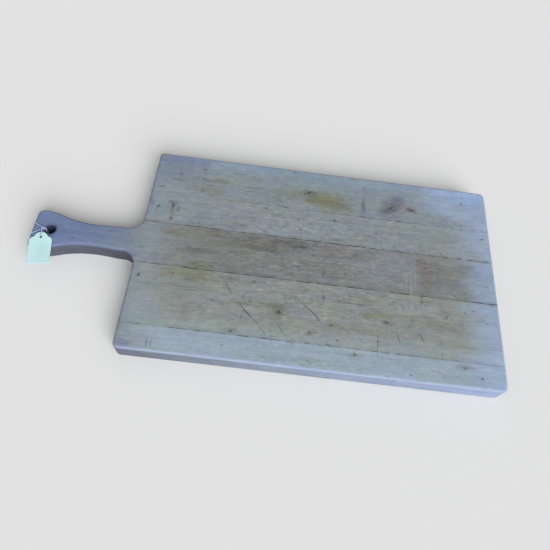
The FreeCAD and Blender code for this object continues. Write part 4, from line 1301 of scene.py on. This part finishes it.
def price_tag():
    half = join(line_pts((0, 6.3), (2.8, 6.3), 0.7), three_point_arc((2.8, 6.3), (5.7, 4.3), (7.8, 1.3)),
                line_pts((7.8, 1.3), (8.4, 0.2), 0.6), three_point_arc((8.4, 0.2), (11.6, -1.2), (13.3, -4.4)),
                line_pts((13.3, -4.4), (13.3, -34.0), 0.8), arc_pts(12.6, -34.0, 0.7, 0, -90, 5),
                line_pts((12.6, -34.7), (0, -34.7), 0.8))
    left = half[::-1][1:-1] * np.array([-1, 1])
    rim = np.concatenate([half, left])            # clockwise from the top
    m = len(rim)
    ang = np.arctan2(rim[:, 1], rim[:, 0])
    hole = np.stack([1.6 * np.cos(ang), 1.6 * np.sin(ang)], 1)
    steps = np.concatenate([[0, 0.012, 0.03], np.linspace(0.06, 0.96, 26), [0.985, 1.0]])
    rings = [hole * (1 - f) + rim * f for f in steps]
    flat = np.concatenate(rings)

    def bend(p, side):
        a, u = p[:, 0], p[:, 1]
        low = np.clip(-u / 34.7, 0, 1)
        h = 0.55 * low**2 * (a / 13.3) + 0.35 * low**2.2 + 0.10 * np.sin(u * 0.21 + 0.5) * low
        h += 0.07 * N1(a + 40, u, 9, 12, 2) * low
        lip = 0.10 * np.exp(-((np.hypot(a, u) - 1.6) / 0.45)**2)      # pushed up round the punched hole
        return h + lip + side

    n = len(rings)
    top = bend(flat, 0.0)
    edge = np.zeros(len(flat))
    f_of = np.repeat(steps, m)
    round_off = 0.10 * (smooth(0.985, 1.0, f_of) + smooth(0.012, 0.0, f_of))
    ht, hb = top + 0.25 - round_off, top - 0.25 + round_off
    P = lambda p, h: TAG_HOLE + p[:, :1] * ACROSS + p[:, 1:2] * TAG_UP + h[:, None] * TAG_NORMAL
    v = np.concatenate([P(flat, ht), P(flat, hb)])
    i = np.arange(m)
    j = (i + 1) % m
    quads = []
    off = n * m
    for k in range(n - 1):
        a, b = k * m, (k + 1) * m
        quads.append(np.stack([b + i, a + i, a + j, b + j], 1))                       # upper face
        quads.append(np.stack([off + a + i, off + b + i, off + b + j, off + a + j], 1))
    quads.append(np.stack([(n - 1) * m + j, off + (n - 1) * m + j, off + (n - 1) * m + i, (n - 1) * m + i], 1))
    quads.append(np.stack([i, off + i, off + j, j], 1))
    ob = fast_mesh("card_tag", v * MM, [np.concatenate(quads)])
    u2 = np.concatenate([flat, flat])
    vector_attribute(ob, "card", np.column_stack([u2, np.concatenate([f_of, f_of])]))
    bm = bmesh.new()
    bm.from_mesh(ob.data)
    bmesh.ops.recalc_face_normals(bm, faces=bm.faces)
    bm.to_mesh(ob.data)
    bm.free()
    ob.data.polygons.foreach_set("use_smooth", np.ones(len(ob.data.polygons), bool))
    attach(ob, "tag")
    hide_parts("price_tag")
    return ob


tag = price_tag()


# ---------------------------------------------------------------------------
# Materials
# ---------------------------------------------------------------------------
class Tree:
    """A small helper to write a node tree."""

    def __init__(self, name):
        self.mat = bpy.data.materials.new(name)
        self.mat.use_nodes = True
        self.nt = self.mat.node_tree
        self.bsdf = self.nt.nodes["Principled BSDF"]

    def node(self, kind, **props):
        n = self.nt.nodes.new("ShaderNode" + kind)
        for k, v in props.items():
            setattr(n, k, v)
        return n

    def link(self, a, b):
        self.nt.links.new(a, b)

    def put(self, socket, value):
        if isinstance(value, bpy.types.NodeSocket):
            self.link(value, socket)
        else:
            socket.default_value = value

    def math(self, op, a, b=0.0, clamp=False):
        n = self.node("Math", operation=op, use_clamp=clamp)
        self.put(n.inputs[0], a)
        self.put(n.inputs[1], b)
        return n.outputs[0]

    def vec(self, op, a, b=None, scale=None):
        n = self.node("VectorMath", operation=op)
        self.put(n.inputs[0], a)
        if b is not None:
            self.put(n.inputs[1], b)
        if scale is not None:
            self.put(n.inputs["Scale"], scale)
        return n.outputs["Value"] if op in ("LENGTH", "DOT_PRODUCT", "DISTANCE") else n.outputs["Vector"]

    def span(self, value, a, b, c, d):
        n = self.node("MapRange", clamp=True)
        self.put(n.inputs["Value"], value)
        for key, v in (("From Min", a), ("From Max", b), ("To Min", c), ("To Max", d)):
            self.put(n.inputs[key], v)
        return n.outputs["Result"]

    def noise(self, vector, scale, detail=4.0, rough=0.55, distortion=0.0):
        n = self.node("TexNoise")
        self.put(n.inputs["Vector"], vector)
        n.inputs["Scale"].default_value = scale
        n.inputs["Detail"].default_value = detail
        n.inputs["Roughness"].default_value = rough
        n.inputs["Distortion"].default_value = distortion
        return n.outputs["Fac"]

    def place(self, scale, offset=(0, 0, 0), turn=(0, 0, 0)):
        """Object coordinates in millimetres, scaled."""
        if not hasattr(self, "coord"):
            self.coord = self.node("TexCoord").outputs["Object"]
        n = self.node("Mapping")
        self.link(self.coord, n.inputs["Vector"])
        n.inputs["Scale"].default_value = [s / MM for s in scale]
        n.inputs["Location"].default_value = offset
        n.inputs["Rotation"].default_value = turn
        return n.outputs["Vector"]

    def attribute(self, name):
        n = self.node("Attribute", attribute_type="GEOMETRY", attribute_name=name)
        return n.outputs["Vector"]

    def split(self, v):
        n = self.node("SeparateXYZ")
        self.link(v, n.inputs[0])
        return n.outputs

    def mix(self, f, a, b):
        n = self.node("Mix", data_type="RGBA", blend_type="MIX")
        self.put(n.inputs["Factor"], f)
        self.put(n.inputs[6], a)
        self.put(n.inputs[7], b)
        return n.outputs[2]

    def bump(self, height, distance, strength=1.0, normal=None):
        n = self.node("Bump")
        n.inputs["Strength"].default_value = strength
        n.inputs["Distance"].default_value = distance
        self.put(n.inputs["Height"], height)
        if normal is not None:
            self.link(normal, n.inputs["Normal"])
        return n.outputs["Normal"]


def wood(name, seed, slope=0.0):
    t = Tree(name)
    off = (seed * 31.7, seed * 17.3, seed * 7.9)
    lean = (0, 0, slope)
    wander = t.noise(t.place((0.006, 0.03, 0.03), off), 1.0, 2.0, 0.5)
    warp = t.vec("SCALE", t.node("CombineXYZ").outputs[0], scale=1.0)
    comb = t.node("CombineXYZ")
    t.link(t.math("MULTIPLY", wander, 9.0), comb.inputs[1])
    t.link(t.math("MULTIPLY", wander, 5.0), comb.inputs[2])
    t.nt.nodes.remove(warp.node)

    def grain(scale, detail, rough, o=0.0):
        p = t.vec("ADD", t.place(scale, (off[0] + o, off[1] + o, off[2]), lean), comb.outputs[0])
        return t.noise(p, 1.0, detail, rough)

    fibre = grain((0.035, 1.35, 1.35), 5.0, 0.62)
    dash = grain((0.22, 2.3, 2.3), 3.0, 0.5, 40.0)
    band = grain((0.008, 0.22, 0.22), 3.0, 0.5, 80.0)
    fleck = grain((0.5, 3.6, 3.6), 2.0, 0.5, 120.0)
    worn, dark, top = t.split(t.attribute("state"))
    f = t.span(fibre, 0.32, 0.70, 0.915, 1.075)
    f = t.math("MULTIPLY", f, t.span(dash, 0.34, 0.70, 1.045, 0.945))
    f = t.math("MULTIPLY", f, t.span(band, 0.35, 0.65, 0.955, 1.045))
    f = t.math("MULTIPLY", f, t.span(fleck, 0.62, 0.74, 1.0, 0.86))

    # end grain on the sawn ends: growth rings, and the open ends of the pores
    normal = t.node("NewGeometry").outputs["Normal"]
    nx = t.math("ABSOLUTE", t.split(normal)[0])
    end = t.math("MULTIPLY", t.span(nx, 0.62, 0.90, 0.0, 1.0), t.math("SUBTRACT", 1.0, top))
    ring = t.node("TexWave", wave_type="RINGS", rings_direction="X", wave_profile="SIN")
    t.link(t.place((0.002, 0.16, 0.16), (0.0, 3.1 * math.sin(seed * 2.1), 6.0 + 2 * math.cos(seed))), ring.inputs["Vector"])
    ring.inputs["Scale"].default_value = 1.0
    ring.inputs["Distortion"].default_value = 2.2
    ring.inputs["Detail"].default_value = 3.0
    ring.inputs["Detail Scale"].default_value = 1.4
    pore = t.noise(t.place((2.4, 2.4, 2.4), off), 1.0, 3.0, 0.6)
    e = t.math("MULTIPLY", t.span(ring.outputs["Fac"], 0.1, 0.9, 0.80, 1.04), t.span(pore, 0.40, 0.68, 1.06, 0.80))
    f = t.math("MULTIPLY", f, t.math("ADD", t.math("MULTIPLY", e, end), t.math("SUBTRACT", 1.0, end)))
    col = t.vec("SCALE", t.attribute("tint"), scale=f)
    # a breath of green and violet in the grey, as old maple has
    cast = grain((0.05, 0.12, 0.12), 3.0, 0.5, 200.0)
    hue = t.node("VectorMath", operation="MULTIPLY")
    t.link(col, hue.inputs[0])
    t.link(t.mix(t.span(cast, 0.38, 0.62, 0.0, 1.0), (0.975, 1.02, 0.985, 1), (1.025, 0.985, 1.02, 1)), hue.inputs[1])
    t.link(hue.outputs[0], t.bsdf.inputs["Base Color"])
    rough = t.math("ADD", t.span(fibre, 0.3, 0.7, 0.70, 0.52), t.math("MULTIPLY", worn, -0.05))
    rough = t.math("ADD", rough, t.math("MULTIPLY", dark, 0.25), clamp=True)
    t.link(rough, t.bsdf.inputs["Roughness"])
    t.bsdf.inputs["Specular IOR Level"].default_value = 0.38
    n1 = t.bump(fibre, 0.00011, 0.5)
    n2 = t.bump(dash, 0.00007, 0.4, n1)
    n3 = t.bump(t.math("MULTIPLY", pore, end), 0.00012, 0.6, n2)
    t.link(n3, t.bsdf.inputs["Normal"])
    return t.mat


for k, (n, slope) in enumerate((("near_edge_stave", 0.004), ("near_inner_stave", -0.012), ("handle_stave", 0.006),
                                ("far_inner_stave", -0.006), ("far_edge_stave", 0.016))):
    staves[n].data.materials.append(wood("worn_maple_" + n, k + 1, slope))


def glue_material():
    t = Tree("dried_glue")
    a = t.noise(t.place((0.25, 2.0, 2.0)), 1.0, 4.0, 0.6)
    b = t.noise(t.place((0.05, 0.5, 0.5), (9, 4, 2)), 1.0, 3.0, 0.5)
    c = t.mix(t.span(a, 0.35, 0.68, 0.0, 1.0), (0.012, 0.013, 0.016, 1), (0.055, 0.050, 0.040, 1))
    c = t.mix(t.span(b, 0.52, 0.70, 0.0, 0.55), c, (0.13, 0.12, 0.095, 1))
    t.link(c, t.bsdf.inputs["Base Color"])
    t.link(t.span(a, 0.3, 0.7, 0.55, 0.85), t.bsdf.inputs["Roughness"])
    t.link(t.bump(a, 0.00012, 0.6), t.bsdf.inputs["Normal"])
    return t.mat


glue = glue_material()
for o in films:
    o.data.materials.append(glue)


def card_material():
    t = Tree("tag_card")
    p = t.attribute("card")
    a, u, rim = t.split(p)
    fibre = t.noise(t.place((1.6, 1.6, 1.6)), 1.0, 5.0, 0.65)
    fleck = t.noise(t.place((0.9, 3.2, 3.2), (3, 1, 0), (0, 0, 0.8)), 1.0, 2.0, 0.5)
    cloud = t.noise(t.place((0.07, 0.07, 0.07), (5, 2, 0)), 1.0, 3.0, 0.5)
    c = t.mix(t.span(cloud, 0.35, 0.65, 0.0, 1.0), (0.505, 0.775, 0.755, 1), (0.560, 0.800, 0.830, 1))
    c = t.mix(t.span(fibre, 0.45, 0.75, 0.0, 0.30), c, (0.44, 0.66, 0.70, 1))
    c = t.mix(t.span(fleck, 0.66, 0.76, 0.0, 0.5), c, (0.36, 0.48, 0.58, 1))
    # handled: greyer round the rim, and a soft thumb mark low down
    c = t.mix(t.span(rim, 0.90, 1.0, 0.0, 0.22), c, (0.30, 0.42, 0.55, 1))
    d = t.math("SQRT", t.math("ADD", t.math("POWER", t.math("SUBTRACT", a, 2.0), 2.0),
                             t.math("POWER", t.math("MULTIPLY", t.math("ADD", u, 21.0), 0.55), 2.0)))
    thumb = t.math("MULTIPLY", t.span(d, 2.0, 9.0, 0.22, 0.0), t.span(fibre, 0.35, 0.65, 0.4, 1.0))
    c = t.mix(thumb, c, (0.25, 0.36, 0.50, 1))
    t.link(c, t.bsdf.inputs["Base Color"])
    t.link(t.span(fibre, 0.3, 0.7, 0.62, 0.80), t.bsdf.inputs["Roughness"])
    t.link(t.bump(fibre, 0.00004, 0.5), t.bsdf.inputs["Normal"])
    t.bsdf.inputs["Specular IOR Level"].default_value = 0.3
    return t.mat


tag.data.materials.append(card_material())


def string_material():
    t = Tree("cotton_string")
    a = t.noise(t.place((3.0, 3.0, 3.0)), 1.0, 4.0, 0.6)
    b = t.noise(t.place((0.18, 0.18, 0.18), (1, 2, 3)), 1.0, 2.0, 0.5)
    c = t.mix(t.span(b, 0.35, 0.65, 0.0, 1.0), (0.40, 0.43, 0.66, 1), (0.60, 0.64, 0.82, 1))
    c = t.mix(t.span(a, 0.30, 0.72, 0.0, 0.55), c, (0.25, 0.27, 0.45, 1))
    t.link(c, t.bsdf.inputs["Base Color"])
    t.bsdf.inputs["Roughness"].default_value = 0.9
    t.bsdf.inputs["Sheen Weight"].default_value = 0.35
    t.bsdf.inputs["Sheen Roughness"].default_value = 0.5
    t.bsdf.inputs["Specular IOR Level"].default_value = 0.2
    t.link(t.bump(a, 0.00012, 0.8), t.bsdf.inputs["Normal"])
    return t.mat


string_mat = string_material()
for o in (loop, hitch, knot):
    o.data.materials.append(string_mat)


# ---------------------------------------------------------------------------
# Studio: pale floor, one large soft key from the near right, an even fill
# ---------------------------------------------------------------------------
floor = new_mesh("studio_floor", [(-6, -6, 0), (6, -6, 0), (6, 6, 0), (-6, 6, 0)], [(0, 1, 2, 3)])
fm = Tree("pale_floor")
fm.bsdf.inputs["Base Color"].default_value = (0.80, 0.80, 0.80, 1)
fm.bsdf.inputs["Roughness"].default_value = 0.95
fm.bsdf.inputs["Specular IOR Level"].default_value = 0.1
floor.data.materials.append(fm.mat)

world = bpy.data.worlds.new("studio")
scene.world = world
world.use_nodes = True
world.node_tree.nodes["Background"].inputs["Color"].default_value = (1.0, 1.0, 1.0, 1)
world.node_tree.nodes["Background"].inputs["Strength"].default_value = 0.42


def key_light(from_x, from_y, height, spread, strength):
    """A very large, distant diffuser: even over the whole floor, with a soft-edged shadow."""
    data = bpy.data.lights.new("key", "SUN")
    data.energy = strength
    data.angle = math.radians(spread)
    ob = bpy.data.objects.new("key", data)
    scene.collection.objects.link(ob)
    ob.location = (from_x, from_y, height)
    ob.rotation_euler = (-Vector(ob.location)).to_track_quat("-Z", "Y").to_euler()
    return ob


key_light(1.25, -2.3, 1.45, 50, 3.45)
